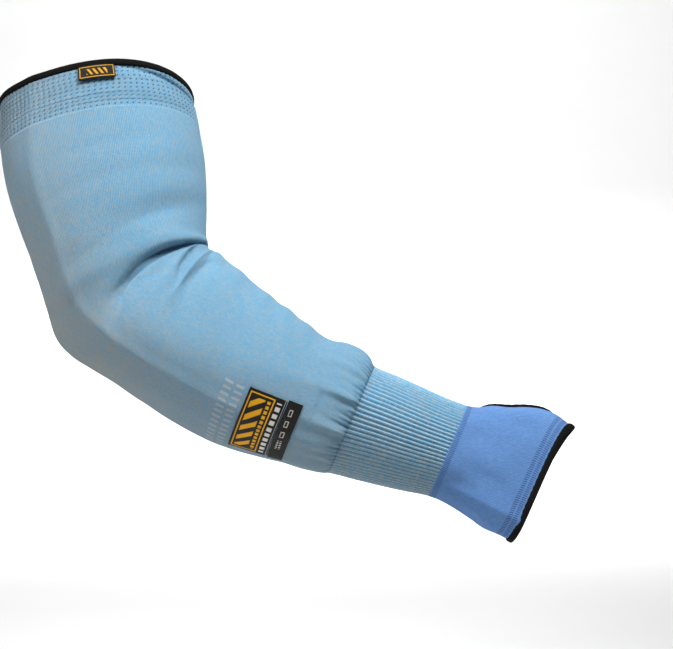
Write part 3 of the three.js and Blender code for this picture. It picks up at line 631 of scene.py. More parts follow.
class Finish:
    """A material being put together: its shader and the nodes that feed it."""

    def __init__(self, name, roughness, sheen=0.0, shine=0.25):
        self.material = bpy.data.materials.new(name)
        self.material.use_nodes = True
        self.nodes = self.material.node_tree.nodes
        self.links = self.material.node_tree.links
        self.nodes.clear()
        self.shader = self.nodes.new("ShaderNodeBsdfPrincipled")
        surface = self.nodes.new("ShaderNodeOutputMaterial").inputs["Surface"]
        self.links.new(self.shader.outputs["BSDF"], surface)
        self.shader.inputs["Roughness"].default_value = roughness
        self.shader.inputs["Sheen Weight"].default_value = sheen
        self.shader.inputs["Specular IOR Level"].default_value = shine

    def feed(self, socket, value):
        """Links a value from another node to a socket, or sets the socket to a number or a colour."""
        if isinstance(value, bpy.types.NodeSocket):
            self.links.new(value, socket)
        elif isinstance(value, tuple):
            socket.default_value = (*value, 1.0)
        else:
            socket.default_value = value

    def math(self, operation, *values):
        node = self.nodes.new("ShaderNodeMath")
        node.operation = operation
        for socket, value in zip(node.inputs, values):
            self.feed(socket, value)
        return node.outputs[0]

    def mix(self, share, first, second):
        """A colour between two, by share."""
        node = self.nodes.new("ShaderNodeMix")
        node.data_type = "RGBA"
        self.feed(node.inputs[0], share)
        self.feed(node.inputs[6], first)
        self.feed(node.inputs[7], second)
        return node.outputs[2]

    def step(self, value, start, end):
        """0 up to start, 1 from end on, and smooth in between."""
        node = self.nodes.new("ShaderNodeMapRange")
        node.interpolation_type = "SMOOTHSTEP"
        for socket, each in zip(node.inputs, (value, start, end)):
            self.feed(socket, each)
        return node.outputs[0]

    def layer(self, name):
        """The two numbers of a named layer of the mesh."""
        node = self.nodes.new("ShaderNodeUVMap")
        node.uv_map = name
        parts = self.nodes.new("ShaderNodeSeparateXYZ")
        self.links.new(node.outputs["UV"], parts.inputs[0])
        return parts.outputs[0], parts.outputs[1]

    def number(self, name):
        node = self.nodes.new("ShaderNodeAttribute")
        node.attribute_name = name
        return node.outputs["Fac"]

    def place(self, x, y, z=0.0):
        node = self.nodes.new("ShaderNodeCombineXYZ")
        for socket, value in zip(node.inputs, (x, y, z)):
            self.feed(socket, value)
        return node.outputs[0]

    def chance(self, x, y):
        """A random number from 0 to 1 for each whole x and y."""
        node = self.nodes.new("ShaderNodeTexWhiteNoise")
        node.noise_dimensions = "2D"
        self.links.new(self.place(self.math("FLOOR", x), self.math("FLOOR", y)), node.inputs["Vector"])
        return node.outputs["Value"]

    def cloud(self, x, y, scale, detail=2.0):
        """Soft noise from 0 to 1."""
        node = self.nodes.new("ShaderNodeTexNoise")
        node.inputs["Scale"].default_value = scale
        node.inputs["Detail"].default_value = detail
        self.links.new(self.place(x, y), node.inputs["Vector"])
        return node.outputs["Fac"]

    def bump(self, height, distance):
        node = self.nodes.new("ShaderNodeBump")
        node.inputs["Distance"].default_value = distance
        self.links.new(height, node.inputs["Height"])
        self.links.new(node.outputs["Normal"], self.shader.inputs["Normal"])

    def colour(self, value):
        self.feed(self.shader.inputs["Base Color"], value)

    def both(self, first, second):
        return self.math("MULTIPLY", first, second)

    def either(self, first, second):
        return self.math("MAXIMUM", first, second)

    def within(self, value, start, end, blur):
        """1 between start and end, and 0 outside."""
        above = self.step(value, start - blur, start + blur)
        below = self.step(self.both(value, -1.0), -end - blur, -end + blur)
        return self.both(above, below)

    def block(self, x, y, sides, blur=0.1):
        """1 within a rectangle given by its left, right, bottom and top."""
        left, right, bottom, top = sides
        return self.both(self.within(x, left, right, blur), self.within(y, bottom, top, blur))

    def off_middle(self, value):
        """How far the fraction of a value is from a half."""
        return self.math("ABSOLUTE", self.math("SUBTRACT", self.math("FRACT", value), 0.5))


def knit_stitches(finish, u, v):
    """The knit's V-shaped stitches: their height, the gaps between columns, and the slant of the rows."""
    across = finish.off_middle(u)
    off_leg = finish.math("ABSOLUTE", finish.math("SUBTRACT", across, 0.25))
    leg = finish.math("SUBTRACT", 1.0, finish.both(off_leg, 4.0))
    slant = finish.math("MULTIPLY_ADD", across, 1.3, v)
    part = finish.math("FRACT", slant)
    loop = finish.both(finish.both(part, 4.0), finish.math("SUBTRACT", 1.0, part))
    height = finish.both(leg, finish.math("MULTIPLY_ADD", loop, 0.4, 0.6))
    return height, finish.step(across, 0.26, 0.5), slant


def knit_colour(finish, u, slant, gap, yarns, share):
    """Two yarns that change from stitch to stitch, and painted shade in the grooves between them."""
    main, second, shade = (tuple(yarn) for yarn in yarns)
    drift = finish.cloud(finish.both(u, 0.05), finish.both(slant, 0.12), 1.0)
    share = finish.math("ADD", share, finish.math("MULTIPLY_ADD", drift, 0.2, -0.1))
    chance = finish.chance(finish.both(u, 2.0), finish.both(slant, 0.6))
    level = finish.math("MULTIPLY_ADD", chance, 0.5, finish.math("SUBTRACT", share, 0.25))
    yarn = finish.mix(finish.either(finish.math("MINIMUM", level, 1.0), 0.0), main, second)
    # Darkening the gaps between columns with the shade colour is painted shade.
    return finish.mix(finish.both(gap, 0.6), yarn, shade)


# Heights of the stitches and of the other shaded relief, in metres.
ARM_RELIEF = 0.00035
RIB_RELIEF = 0.0003
CUFF_RELIEF = 0.00025
TAPE_RELIEF = 0.00012
PRINT_RELIEF = 0.00015
TAB_RELIEF = 0.0001


def knit_finish(name, settings, marks=False, dots=False):
    """The light blue heather knit of the arm, with knitted-in marks or the band's holes where asked for."""
    finish = Finish(name, roughness=0.9, sheen=0.05)
    u, v = finish.layer("stitches")
    height, gap, slant = knit_stitches(finish, u, v)
    yarns = (settings.blue, settings.tan, settings.shade)
    colour = knit_colour(finish, u, slant, gap, yarns, finish.number("tan_share"))
    if marks:
        colour = finish.mix(knitted_marks(finish), colour, tuple(settings.marks))
        # The ribs' first grooves up the arm are darkened: painted shade.
        groove = finish.both(finish.step(finish.number("rib_groove"), 0.1, 0.9), 0.66)
        colour = finish.mix(groove, colour, tuple(settings.rib_groove))
    if dots:
        # The holes are painted dark: painted shade for their insides.
        colour = finish.mix(tuck_holes(finish), colour, tuple(settings.hole))
    finish.colour(colour)
    finish.bump(height, ARM_RELIEF)
    return finish.material


# The knitted-in marks are two rows of plain bars beside the printed patch: the rows' stations, and the angles
# in degrees that they span.
MARK_ROWS = ((219.5, 224.3), (226.2, 231.0))
MARK_SPAN = (101.0, 166.0)
MARK_COUNT = 13
MARK_STRENGTH = 0.62


def knitted_marks(finish):
    """Where the bars are."""
    around, along = finish.layer("places")
    start, end = (math.radians(edge) for edge in MARK_SPAN)
    sample = np.linspace(0, TURN, 721)[None, :-1]
    shares = round_shares(outer_face(np.full_like(sample, MARK_ROWS[0][1]), sample))[0]
    first, last = (float(np.interp(edge, sample[0], shares[:-1])) for edge in (start, end))
    place = finish.math("DIVIDE", finish.math("SUBTRACT", around, first), last - first)
    bars = finish.math("FRACT", finish.both(place, float(MARK_COUNT)))
    bar = finish.both(finish.within(bars, 0.3, 0.7, 0.05), finish.within(place, 0.0, 1.0, 0.003))
    rows = [finish.within(along, low * MM, high * MM, 0.0003) for low, high in MARK_ROWS]
    return finish.both(finish.both(bar, finish.either(*rows)), MARK_STRENGTH)


def tuck_holes(finish):
    """Where the open-work band's small holes are, from their columns and rows, for painted shade inside."""
    row = finish.number("dot_row")
    across = finish.step(finish.off_middle(finish.number("dot_column")), 0.19, 0.09)
    down = finish.step(finish.off_middle(row), 0.24, 0.12)
    return finish.both(finish.both(finish.both(across, down), finish.step(row, 0.2, 0.4)), 0.85)


def rib_finish(settings):
    """The wrist's ribs: pale ridges, and grooves painted teal as shade, with an edge that wobbles each
    course.
    """
    finish = Finish("rib knit", roughness=0.9, sheen=0.05)
    u, v = finish.layer("stitches")
    height, gap, slant = knit_stitches(finish, finish.both(u, 2.0), v)
    share = finish.math("ADD", finish.number("tan_share"), 0.08)
    yarn = knit_colour(finish, u, slant, gap, (settings.blue, settings.tan, settings.shade), share)
    wobble = finish.math("MULTIPLY_ADD", finish.chance(u, v), 0.12, -0.06)
    groove = finish.step(finish.math("ADD", finish.off_middle(u), wobble), 0.4, 0.1)
    # The grooves are darkened with the rib groove colour: painted shade.
    finish.colour(finish.mix(finish.both(groove, 0.56), yarn, tuple(settings.rib_groove)))
    finish.bump(height, RIB_RELIEF)
    return finish.material


# The cuff's dashes stand in a row below the ribs and in two rows above the hand's binding.
DASH_PITCH = 1.5
DASH_LENGTH = 3.3
DASH_START = 0.8
RIM_DASH_ROWS = ((5.6, 8.4), (9.4, 12.2))  # from the hand's rim


def cuff_finish(settings):
    """The hand's smoother, bluer knit, with rows of short dark dashes at its ends."""
    finish = Finish("cuff knit", roughness=0.88, sheen=0.05)
    u, v = finish.layer("stitches")
    height, gap, slant = knit_stitches(finish, u, v)
    yarns = (settings.cuff, settings.cuff_fleck, settings.cuff_shade)
    # knit_colour darkens the gaps between the cuff's columns with painted shade.
    yarn = knit_colour(finish, u, slant, gap, yarns, 0.1)
    along = finish.layer("places")[1]
    from_ribs = finish.math("SUBTRACT", along, WRIST_STATION * MM)
    rows = finish.within(from_ribs, DASH_START * MM, (DASH_START + DASH_LENGTH) * MM, 0.0004)
    to_rim = finish.number("to_rim")
    for near, far in RIM_DASH_ROWS:
        rows = finish.either(rows, finish.within(to_rim, near, far, 0.3))
    dash = finish.step(finish.off_middle(finish.number("dash")), 0.3, 0.12)
    finish.colour(finish.mix(finish.both(finish.both(dash, rows), 0.8), yarn, tuple(settings.cuff_dash)))
    finish.bump(height, CUFF_RELIEF)
    return finish.material


def worn(finish, x, y, scale, start, colours):
    """A dark ground with soft worn spots."""
    fresh, faded = (tuple(colour) for colour in colours)
    return finish.mix(finish.step(finish.cloud(x, y, scale, 3.0), start, 0.8), fresh, faded)


def thread(finish, value, pitch):
    """A fine wave with one crest for each thread."""
    return finish.math("SINE", finish.both(value, TURN / pitch))


def binding_finish(settings):
    """Black elastic tape with fine ribs across it."""
    finish = Finish("binding tape", roughness=0.85, shine=0.15)
    along, across = finish.layer("tape")
    finish.colour(worn(finish, along, across, 0.9, 0.45, (settings.tape, settings.tape_lint)))
    weave = finish.both(thread(finish, across, 0.8), 0.4)
    finish.bump(finish.math("ADD", thread(finish, along, 0.55), weave), TAPE_RELIEF)
    return finish.material


def frame_lines(finish, x, y, sides, width):
    """A thin line round a rectangle."""
    left, right, bottom, top = sides
    hollow = (left + width, right - width, bottom + width, top - width)
    return finish.math("SUBTRACT", finish.block(x, y, sides, 0.08), finish.block(x, y, hollow, 0.08))


def dashes_along(finish, value, pitch, share):
    part = finish.math("FRACT", finish.math("DIVIDE", value, pitch))
    return finish.within(part, 0.5 - share / 2, 0.5 + share / 2, 0.03)


# Where the prints' blocks are, in millimetres: left, right, bottom and top.
MAIN_BORDER = (1.5, 18.2, 1.6, 46.4)
MAIN_STRIPES = (3.6, 12.6, 4.2, 43.8)
MAIN_DASHES = (14.0, 16.2, 4.2, 43.8)
MAIN_BARS = (19.7, 22.9, 3.0, 45.0)
MAIN_RULE = (24.4, 24.8)
SIZE_SQUARES = ((3.0, 7.0, 5.0, 9.4), (3.0, 7.0, 12.5, 16.9), (3.0, 7.0, 20.0, 24.4))
SIZE_DASHES = ((2.8, 4.2, 27.5, 36.0), (5.6, 7.0, 27.5, 36.0))
TAB_BORDER = (0.7, TAB_LENGTH - 0.9, 0.8, TAB_WIDTH - 0.8)
TAB_BARS = (2.6, TAB_LENGTH - 2.8, 5.0, TAB_WIDTH - 5.0)


def finish_print(finish, x, y, settings, yellow, white):
    """Colours a print's black ground with its yellow and white parts."""
    colour = worn(finish, x, y, 1.6, 0.4, (settings.black, settings.black_worn))
    if yellow is not None:
        colour = finish.mix(yellow, colour, tuple(settings.yellow))
    finish.colour(finish.mix(white, colour, tuple(settings.white)))
    finish.bump(finish.cloud(x, y, 2.2, 2.0), PRINT_RELIEF)
    return finish.material


def main_patch_finish(settings):
    """A black transfer with a yellow line round plain slanting stripes, and a plain white dashed row."""
    finish = Finish("main patch print", roughness=0.5)
    x, y = finish.layer("print")
    slanting = finish.math("ADD", y, finish.both(x, 0.8))
    stripes = finish.both(finish.block(x, y, MAIN_STRIPES), dashes_along(finish, slanting, 8.6, 0.5))
    dashes = finish.both(finish.block(x, y, MAIN_DASHES), dashes_along(finish, y, 3.3, 0.66))
    border = frame_lines(finish, x, y, MAIN_BORDER, 0.8)
    bars = finish.both(finish.block(x, y, MAIN_BARS), dashes_along(finish, y, 4.7, 0.62))
    rule = finish.both(finish.within(x, *MAIN_RULE, 0.08), 0.5)
    yellow = finish.either(border, finish.either(stripes, dashes))
    return finish_print(finish, x, y, settings, yellow, finish.either(bars, rule))


def size_patch_finish(settings):
    """A small black transfer with a few plain outlined squares and dashes."""
    finish = Finish("size patch print", roughness=0.5)
    x, y = finish.layer("print")
    columns = finish.either(*(finish.block(x, y, sides) for sides in SIZE_DASHES))
    marks = finish.both(columns, dashes_along(finish, y, 2.2, 0.6))
    for sides in SIZE_SQUARES:
        marks = finish.either(marks, frame_lines(finish, x, y, sides, 0.6))
    return finish_print(finish, x, y, settings, None, finish.both(marks, 0.7))


def tab_finish(settings):
    """Woven black tab with a yellow border and a few plain slanting bars."""
    finish = Finish("woven tab", roughness=0.75, sheen=0.1)
    x, y = finish.layer("print")
    border = frame_lines(finish, x, y, TAB_BORDER, 0.55)
    slanting = finish.math("ADD", y, finish.both(x, 0.6))
    bars = finish.both(finish.block(x, y, TAB_BARS), dashes_along(finish, slanting, 3.4, 0.5))
    ground = worn(finish, x, y, 1.2, 0.4, (settings.black, settings.black_worn))
    finish.colour(finish.mix(finish.either(border, bars), ground, tuple(settings.yellow)))
    finish.bump(finish.math("ADD", thread(finish, x, 0.45), thread(finish, y, 0.6)), TAB_RELIEF)
    return finish.material


# How finely each piece is meshed: points round it, rows down its outer face and rows up its inner one.
ARM_MESH = (440, 168, 40)
BAND_MESH = (1140, 56, 8)
RIB_MESH = (840, 44, 14)
CUFF_MESH = (360, 90)


def arm_tube(knit):
    around, down, up = ARM_MESH
    sheet = tube_sheet(evenly(around), band_end, pinned(RIB_STATION), down, up, tube_lift)
    finish = knit_finish("arm knit", knit, marks=True)
    pattern = (knit.wale_count, knit.course_pitch / MM)
    piece = tube_piece("sleeve_arm_tube", sheet, *pattern, finish, ["arm_tube"], "knit")
    points, s, angle = sheet
    # How strongly the first grooves show, which the arm's finish paints as shade.
    add_number(piece.data, "rib_groove", first_grooves(s, angle), "POINT")


def upper_band(knit):
    def start(angle):
        return top_rim(angle) + EDGE_INSET

    around, down, up = BAND_MESH
    sheet = tube_sheet(evenly(around), start, band_end, down, up, band_lift)
    finish = knit_finish("band knit", knit, dots=True)
    pattern = (knit.wale_count, knit.course_pitch / MM)
    piece = tube_piece("sleeve_upper_band", sheet, *pattern, finish, ["upper_band"], "knit")
    points, s, angle = sheet
    rows = closed_columns((band_end(angle) - s) / DOT_ROW_PITCH)
    add_number(piece.data, "dot_column", corner_values(round_shares(points) * BAND_COLUMNS))
    add_number(piece.data, "dot_row", corner_values(rows))


def closed_columns(values):
    return np.concatenate([values, values[:, :1]], axis=1)


def corner_values(values):
    """The values at each corner of the faces, from rows that already end with their first point again."""
    values = np.concatenate([values, values[:1]])
    return ring_corners(values).reshape(-1, 4)


def wrist_rib(knit):
    def lift(s, angle):
        return -RIB_HEIGHT * rib_wave(s, angle)

    around, down, up = RIB_MESH
    sheet = tube_sheet(evenly(around), pinned(RIB_STATION), pinned(WRIST_STATION), down, up, lift)
    pattern = (RIB_COUNT, knit.course_pitch / MM)
    tube_piece("sleeve_wrist_rib", sheet, *pattern, rib_finish(knit), ["wrist_rib"], "knit")


CUFF_RADIUS = 35.0  # of the cuff's middle, which gives the number of dashes round it


def beside(flags, shape):
    """The points of a grid that touch one of the flagged faces."""
    found = np.zeros(shape, bool)
    for down in (0, 1):
        for over in (0, 1):
            found[down : shape[0] - 1 + down] |= np.roll(flags, over, axis=1)
    return found


def hand_cuff(knit):
    """The cuff's faces inside the thumb hole are left out, and the points beside them move onto its oval."""
    around_count, row_count = CUFF_MESH
    angles = evenly(around_count)
    outer = crisp_shares(row_count)[:, None]
    rows = len(outer)
    end = hand_rim(angles) - EDGE_INSET
    first = np.full_like(angles, WRIST_STATION)[None, :]
    s = first + outer * (end[None, :] - first)
    around = np.broadcast_to(angles, s.shape).copy()
    far_out = hole_distance(s, around, spread_at(HOLE_STATION, THUMB_ANGLE))
    middles = (far_out[:-1] + far_out[1:]) / 2
    middles = (middles + np.roll(middles, -1, axis=1)) / 2
    dropped = middles < 1
    edge = beside(dropped, s.shape) & beside(~dropped, s.shape)
    s = np.where(edge, HOLE_STATION + (s - HOLE_STATION) / far_out, s)
    around = np.where(edge, THUMB_ANGLE + wrapped(around - THUMB_ANGLE) / far_out, around)
    outside = on_sleeve(s, around, cuff_lift(s, around))
    inside = on_sleeve(s[::-1], around[::-1], np.full(s.shape, -KNIT_WALL))
    points = np.concatenate([outside, inside])
    stations = np.concatenate([s, s[::-1]])
    turns = np.concatenate([around, around[::-1]])
    keep = np.ones((2 * rows, len(angles)), bool)
    keep[: rows - 1] = ~dropped
    keep[rows : 2 * rows - 1] = ~dropped[::-1]
    sheet = (points, stations, turns)
    pattern = (knit.cuff_wale_count, knit.course_pitch / MM)
    finish = cuff_finish(knit)
    piece = tube_piece("sleeve_hand_cuff", sheet, *pattern, finish, ["hand_cuff"], "cuff_knit", keep)
    flat = keep.reshape(-1)
    dashes = round_shares(points) * round(TURN * CUFF_RADIUS / DASH_PITCH)
    add_number(piece.data, "dash", corner_values(dashes)[flat])
    add_number(piece.data, "to_rim", corner_values(closed_columns(hand_rim(turns) - stations))[flat])


FULLNESS = 0.78  # the power that makes a tape's section fuller than an oval


def rounded_section(width, clearance, plump, count):
    """A folded tape's section: how far each corner lies into the knit from the closed edge, and its lift.
    plump is how much rounder than the solid it is."""
    turn = evenly(count)
    half_width = width / 2
    half_height = KNIT_WALL / 2 + clearance + TAPE + plump
    grow = half_width + half_width * np.sign(np.cos(turn)) * np.abs(np.cos(turn)) ** FULLNESS
    lift = -KNIT_WALL / 2 + half_height * np.sign(np.sin(turn)) * np.abs(np.sin(turn)) ** FULLNESS
    return grow, lift


STITCH_PITCH = 3.3  # of the overlock stitches that pull at a binding's edge
STITCH_PULL = 0.14
STITCH_SWELL = 0.03

TAPE_SECTION = 20  # corners of a tape's section
TAPE_RINGS = 420  # sections along the long tapes
THUMB_RINGS = 200
TOP_TAPE_LENGTH = 368.0
HAND_TAPE_LENGTH = 205.0
THUMB_TAPE_LENGTH = 102.0
THUMB_PLUMP = 0.6


def binding_piece(name, node, place, rings, width, clearance, plump, length, finish):
    """A tape folded over an edge: its rounded section swept round the loop that place gives."""
    turns = evenly(rings)
    grow, lift = rounded_section(width, clearance, plump, TAPE_SECTION)
    rings = np.broadcast_to(turns[:, None], (len(turns), len(grow)))
    wave = np.cos(rings * round(length / STITCH_PITCH))
    pull = STITCH_PULL * wave * smooth_step(grow, width * 0.6, width)
    points = place(rings, grow + pull, lift * (1 + STITCH_SWELL * wave))
    faces = ring_faces(*rings.shape).reshape(-1, 4)
    walk = np.linspace(0, length, len(turns) + 1)[:, None]
    across = np.linspace(0, 2 * width, len(grow) + 1)[None, :]
    tape = np.stack(np.broadcast_arrays(walk, across), -1)
    layers = {"tape": ring_corners(tape).reshape(-1, 4, 2)}
    return add_piece(name, points, faces, layers, finish, [node])


def bindings(trims):
    finish = binding_finish(trims)
    spread = spread_at(HOLE_STATION, THUMB_ANGLE)

    def top(angle, grow, lift):
        return on_sleeve(top_rim(angle) + grow, angle, lift)

    def hand(angle, grow, lift):
        return on_sleeve(hand_rim(angle) - grow, angle, lift)

    def thumb(turn, grow, lift):
        s = HOLE_STATION + (THUMB_HOLE_LENGTH / 2 + grow) * np.cos(turn)
        angle = THUMB_ANGLE + (THUMB_HOLE_WIDTH / 2 + grow) / spread * np.sin(turn)
        return on_sleeve(s, angle, lift)

    binding_piece(
        "sleeve_top_binding", "top_binding", top, TAPE_RINGS, TOP_BINDING_WIDTH, TAPE_CLEARANCE, 0.0,
        TOP_TAPE_LENGTH, finish,
    )
    binding_piece(
        "sleeve_hand_binding", "hand_binding", hand, TAPE_RINGS, HAND_BINDING_WIDTH, TAPE_CLEARANCE, 0.0,
        HAND_TAPE_LENGTH, finish,
    )
    binding_piece(
        "sleeve_thumb_binding", "thumb_binding", thumb, THUMB_RINGS, THUMB_BINDING_WIDTH, THUMB_CLEARANCE,
        THUMB_PLUMP, THUMB_TAPE_LENGTH, finish,
    )


PLATE_BEVEL = 0.00012  # metres


def plate(name, node, finish, start_at, length, middle, width, rows, columns, under, over):
    """A thin flat trim that follows the sleeve, closed all round. under and over give its two faces' lift by
    how far along it a point is."""
    spread = spread_at(np.float64(start_at(middle) + length / 2), middle)
    t, u = np.meshgrid(np.linspace(0, 1, rows), np.linspace(0, 1, columns), indexing="ij")
    angle = middle + (u - 0.5) * width / spread
    s = start_at(angle) + t * length
    top = on_sleeve(s, angle, over(t))
    bottom = on_sleeve(s, angle, under(t))
    points = np.concatenate([top, bottom[:, ::-1]], axis=1)
    places = np.stack([t * length, u * width], -1)
    places = np.concatenate([places, places[:, ::-1], places[:, :1]], axis=1)
    count = 2 * columns
    faces = ring_faces(rows, count)[:-1].reshape(-1, 4)
    layer = ring_corners(places).reshape(-1, 4, 2)
    caps = []
    cap_layer = []
    for row, turned in ((0, True), (rows - 1, False)):
        start = row * count
        for k in range(columns - 1):
            cap = [start + k, start + k + 1, start + count - 2 - k, start + count - 1 - k]
            spots = [places[row, k], places[row, k + 1], places[row, k + 1], places[row, k]]
            caps.append(cap[::-1] if turned else cap)
            cap_layer.append(spots[::-1] if turned else spots)
    faces = np.concatenate([faces, np.array(caps)])
    layer = np.concatenate([layer, np.array(cap_layer)])
    piece = add_piece(name, points, faces, {"print": layer}, finish, [node])
    edges = piece.modifiers.new("soft edges", "BEVEL")
    edges.width = PLATE_BEVEL
    edges.segments = 2
    edges.limit_method = "ANGLE"


PATCH_UNDERSIDE = 0.05
TAB_TUCK = 1.0  # how far the tab runs on under the binding


def patches(prints):
    def under(t):
        return np.full_like(t, PATCH_UNDERSIDE)

    def over(t):
        return np.full_like(t, TRIM_LIFT + TRANSFER_THICKNESS)

    plate(
        "sleeve_main_patch", "main_patch", main_patch_finish(prints), pinned(PATCH_START),
        MAIN_PATCH_LENGTH, PATCH_ANGLE, PATCH_WIDTH, 34, 60, under, over,
    )
    plate(
        "sleeve_size_patch", "size_patch", size_patch_finish(prints), pinned(SIZE_PATCH_START),
        SIZE_PATCH_LENGTH, PATCH_ANGLE, PATCH_WIDTH, 16, 60, under, over,
    )


def edge_tab(prints):
    def start(angle):
        return top_rim(angle) + TOP_BINDING_WIDTH + TAPE_CLEARANCE - TAB_TUCK

    def under(t):
        return TRIM_LIFT + TAB_STAND * t

    def over(t):
        return TRIM_LIFT + TAB_STAND * t + TAB_THICKNESS

    plate(
        "sleeve_edge_tab", "edge_tab", tab_finish(prints), start,
        TAB_LENGTH, TAB_ANGLE, TAB_WIDTH, 16, 32, under, over,
    )


# The camera, the lamps and the sweep are in metres.
CAMERA_PLACE = (0.1587, -1.522, -0.1502)
CAMERA_LENS = 121.57
CAMERA_SENSOR = 36
SWEEP_FLOOR = -0.42
SWEEP_NEAR = -2.4
SWEEP_BEND = 1.75
SWEEP_RADIUS = 0.5
SWEEP_TOP = 1.6
SWEEP_HALF_WIDTH = 2.6
SWEEP_STEPS = 16
PAPER_GRAIN = 40
SUBJECT = (0.12, -0.02, -0.13)
BACKDROP = (0.1, 2.25, -0.1)

# setting is the lamp's power in LightSettings, and spread is in degrees.
LAMPS = table(
    ("name", "setting", "place", "aim", "size", "spread"),
    (
        ("key light", "key", (0.6, -0.6, 1.25), SUBJECT, 0.75, 50),
        ("fill light", "fill", (-0.95, -0.8, 0.75), SUBJECT, 1.0, 50),
        ("paper light", "backdrop", (0.1, 1.4, 2.2), BACKDROP, 2.0, 75),
    ),
)


def linked(name, data):
    """Puts a new object with this data in the scene."""
    thing = bpy.data.objects.new(name, data)
    bpy.context.scene.collection.objects.link(thing)
    return thing


def sweep(light):
    """The pale seamless floor and backdrop."""
    profile = [(SWEEP_NEAR, SWEEP_FLOOR), (SWEEP_BEND, SWEEP_FLOOR)]
    for k in range(1, SWEEP_STEPS + 1):
        turn = math.pi / 2 * k / SWEEP_STEPS
        y = SWEEP_BEND + SWEEP_RADIUS * math.sin(turn)
        profile.append((y, SWEEP_FLOOR + SWEEP_RADIUS * (1 - math.cos(turn))))
    profile.append((SWEEP_BEND + SWEEP_RADIUS, SWEEP_TOP))
    points = [(side * SWEEP_HALF_WIDTH, y, z) for y, z in profile for side in (-1, 1)]
    faces = [(2 * k, 2 * k + 1, 2 * k + 3, 2 * k + 2) for k in range(len(profile) - 1)]
    mesh = bpy.data.meshes.new("studio_sweep")
    mesh.from_pydata(points, [], faces)
    mesh.shade_smooth()
    paper = Finish("pale paper", roughness=0.95)
    grain = paper.nodes.new("ShaderNodeTexNoise")
    grain.inputs["Scale"].default_value = PAPER_GRAIN
    share = paper.both(grain.outputs["Fac"], 0.2)
    paper.colour(paper.mix(share, tuple(light.paper), tuple(light.paper_light)))
    mesh.materials.append(paper.material)
    linked("studio_sweep", mesh)


def studio(light):
    """A pale seamless sweep, soft lights from above, and the camera at the photograph's angle."""
    sweep(light)
    scene = bpy.context.scene
    world = bpy.data.worlds.new("studio air")
    world.use_nodes = True
    air = world.node_tree.nodes["Background"]
    air.inputs["Color"].default_value = (1.0, 1.0, 1.0, 1.0)
    air.inputs["Strength"].default_value = light.air
    scene.world = world

    for row in LAMPS:
        lamp = bpy.data.lights.new(row["name"], "AREA")
        lamp.size = row["size"]
        lamp.spread = math.radians(row["spread"])
        lamp.energy = getattr(light, row["setting"])
        holder = linked(row["name"], lamp)
        holder.location = row["place"]
        towards = Vector(row["aim"]) - Vector(row["place"])
        holder.rotation_euler = towards.to_track_quat("-Z", "Y").to_euler()

    lens = bpy.data.cameras.new("camera")
    lens.sensor_width = CAMERA_SENSOR
    lens.lens = CAMERA_LENS
    camera = linked("camera", lens)
    camera.location = CAMERA_PLACE
    camera.rotation_euler = (math.radians(90), 0, 0)
    scene.camera = camera
    scene.view_settings.view_transform = "Standard"


def colour_property(name, description, value):
    return FloatVectorProperty(
        name=name, description=description, default=value, size=3, min=0, max=1, subtype="COLOR"
    )


class KnitSettings(bpy.types.PropertyGroup):
    wale_count: IntProperty(
        name="Wales", description="Columns of stitches round the arm", default=336, min=60
    )
    cuff_wale_count: IntProperty(
        name="Cuff wales", description="Columns of stitches round the hand", default=230, min=60
    )
    course_pitch: FloatProperty(
        name="Course", description="Height of a row of stitches", default=0.0009, min=0.0003, unit="LENGTH"
    )
    blue: colour_property("Blue yarn", "Main yarn of the arm", srgb(116, 180, 218))
    # The tan also greys the arm's outer side, as painted shade.
    tan: colour_property("Tan yarn", "Yarn that shows between the stitches", srgb(196, 190, 172))
    # Painted shade in the grooves between columns of stitches.
    shade: colour_property("Groove shade", "Between two columns of stitches", srgb(62, 104, 136))
    marks: colour_property("Marks", "Knitted-in marks", srgb(206, 210, 212))
    # Painted shade inside the band's holes.
    hole: colour_property("Hole shade", "Small holes of the open-work band", srgb(44, 78, 98))
    # Painted shade in the grooves between the ribs.
    rib_groove: colour_property("Rib groove shade", "Between two ribs", srgb(52, 110, 140))
    cuff: colour_property("Cuff yarn", "Main yarn of the hand's cuff", srgb(94, 140, 200))
    cuff_fleck: colour_property("Cuff fleck", "Second yarn of the hand's cuff", srgb(136, 172, 216))
    # Painted shade in the grooves between the cuff's columns.
    cuff_shade: colour_property("Cuff groove shade", "Between the cuff's columns of stitches", srgb(66, 104, 168))
    cuff_dash: colour_property("Cuff dash", "Short dashes at the cuff's ends", srgb(36, 62, 110))


class TrimSettings(bpy.types.PropertyGroup):
    tape: colour_property("Tape", "Binding tape", srgb(11, 10, 9))
    tape_lint: colour_property("Tape lint", "Worn spots of the tape", srgb(20, 19, 18))


class PrintSettings(bpy.types.PropertyGroup):
    black: colour_property("Black", "Ground of the patches", srgb(18, 17, 15))
    black_worn: colour_property("Worn black", "Faded spots of the ground", srgb(34, 32, 29))
    yellow: colour_property("Yellow", "Lines and stripes", srgb(226, 164, 14))
    white: colour_property("White", "Dashes and squares", srgb(214, 212, 206))


class LightSettings(bpy.types.PropertyGroup):
    paper: colour_property("Paper", "Floor and backdrop", srgb(214, 214, 214))
    paper_light: colour_property("Paper grain", "Lighter spots of the paper", srgb(226, 226, 226))
    air: FloatProperty(name="Air", description="Light from all round", default=0.08, min=0)
    key: FloatProperty(name="Key", description="Soft light from above", default=4.8, min=0, unit="POWER")
    fill: FloatProperty(
        name="Fill", description="Soft light from the viewer's side", default=2.1, min=0, unit="POWER"
    )
    backdrop: FloatProperty(
        name="Backdrop", description="Light on the paper", default=46.0, min=0, unit="POWER"
    )


class SLEEVE_OT_upper_band(bpy.types.Operator):
    """Knits the open-work band under the top opening"""

    bl_idname = "sleeve.upper_band"
    bl_label = "Upper band"

    def execute(self, context):
        upper_band(context.scene.sleeve_knit)
        return {"FINISHED"}


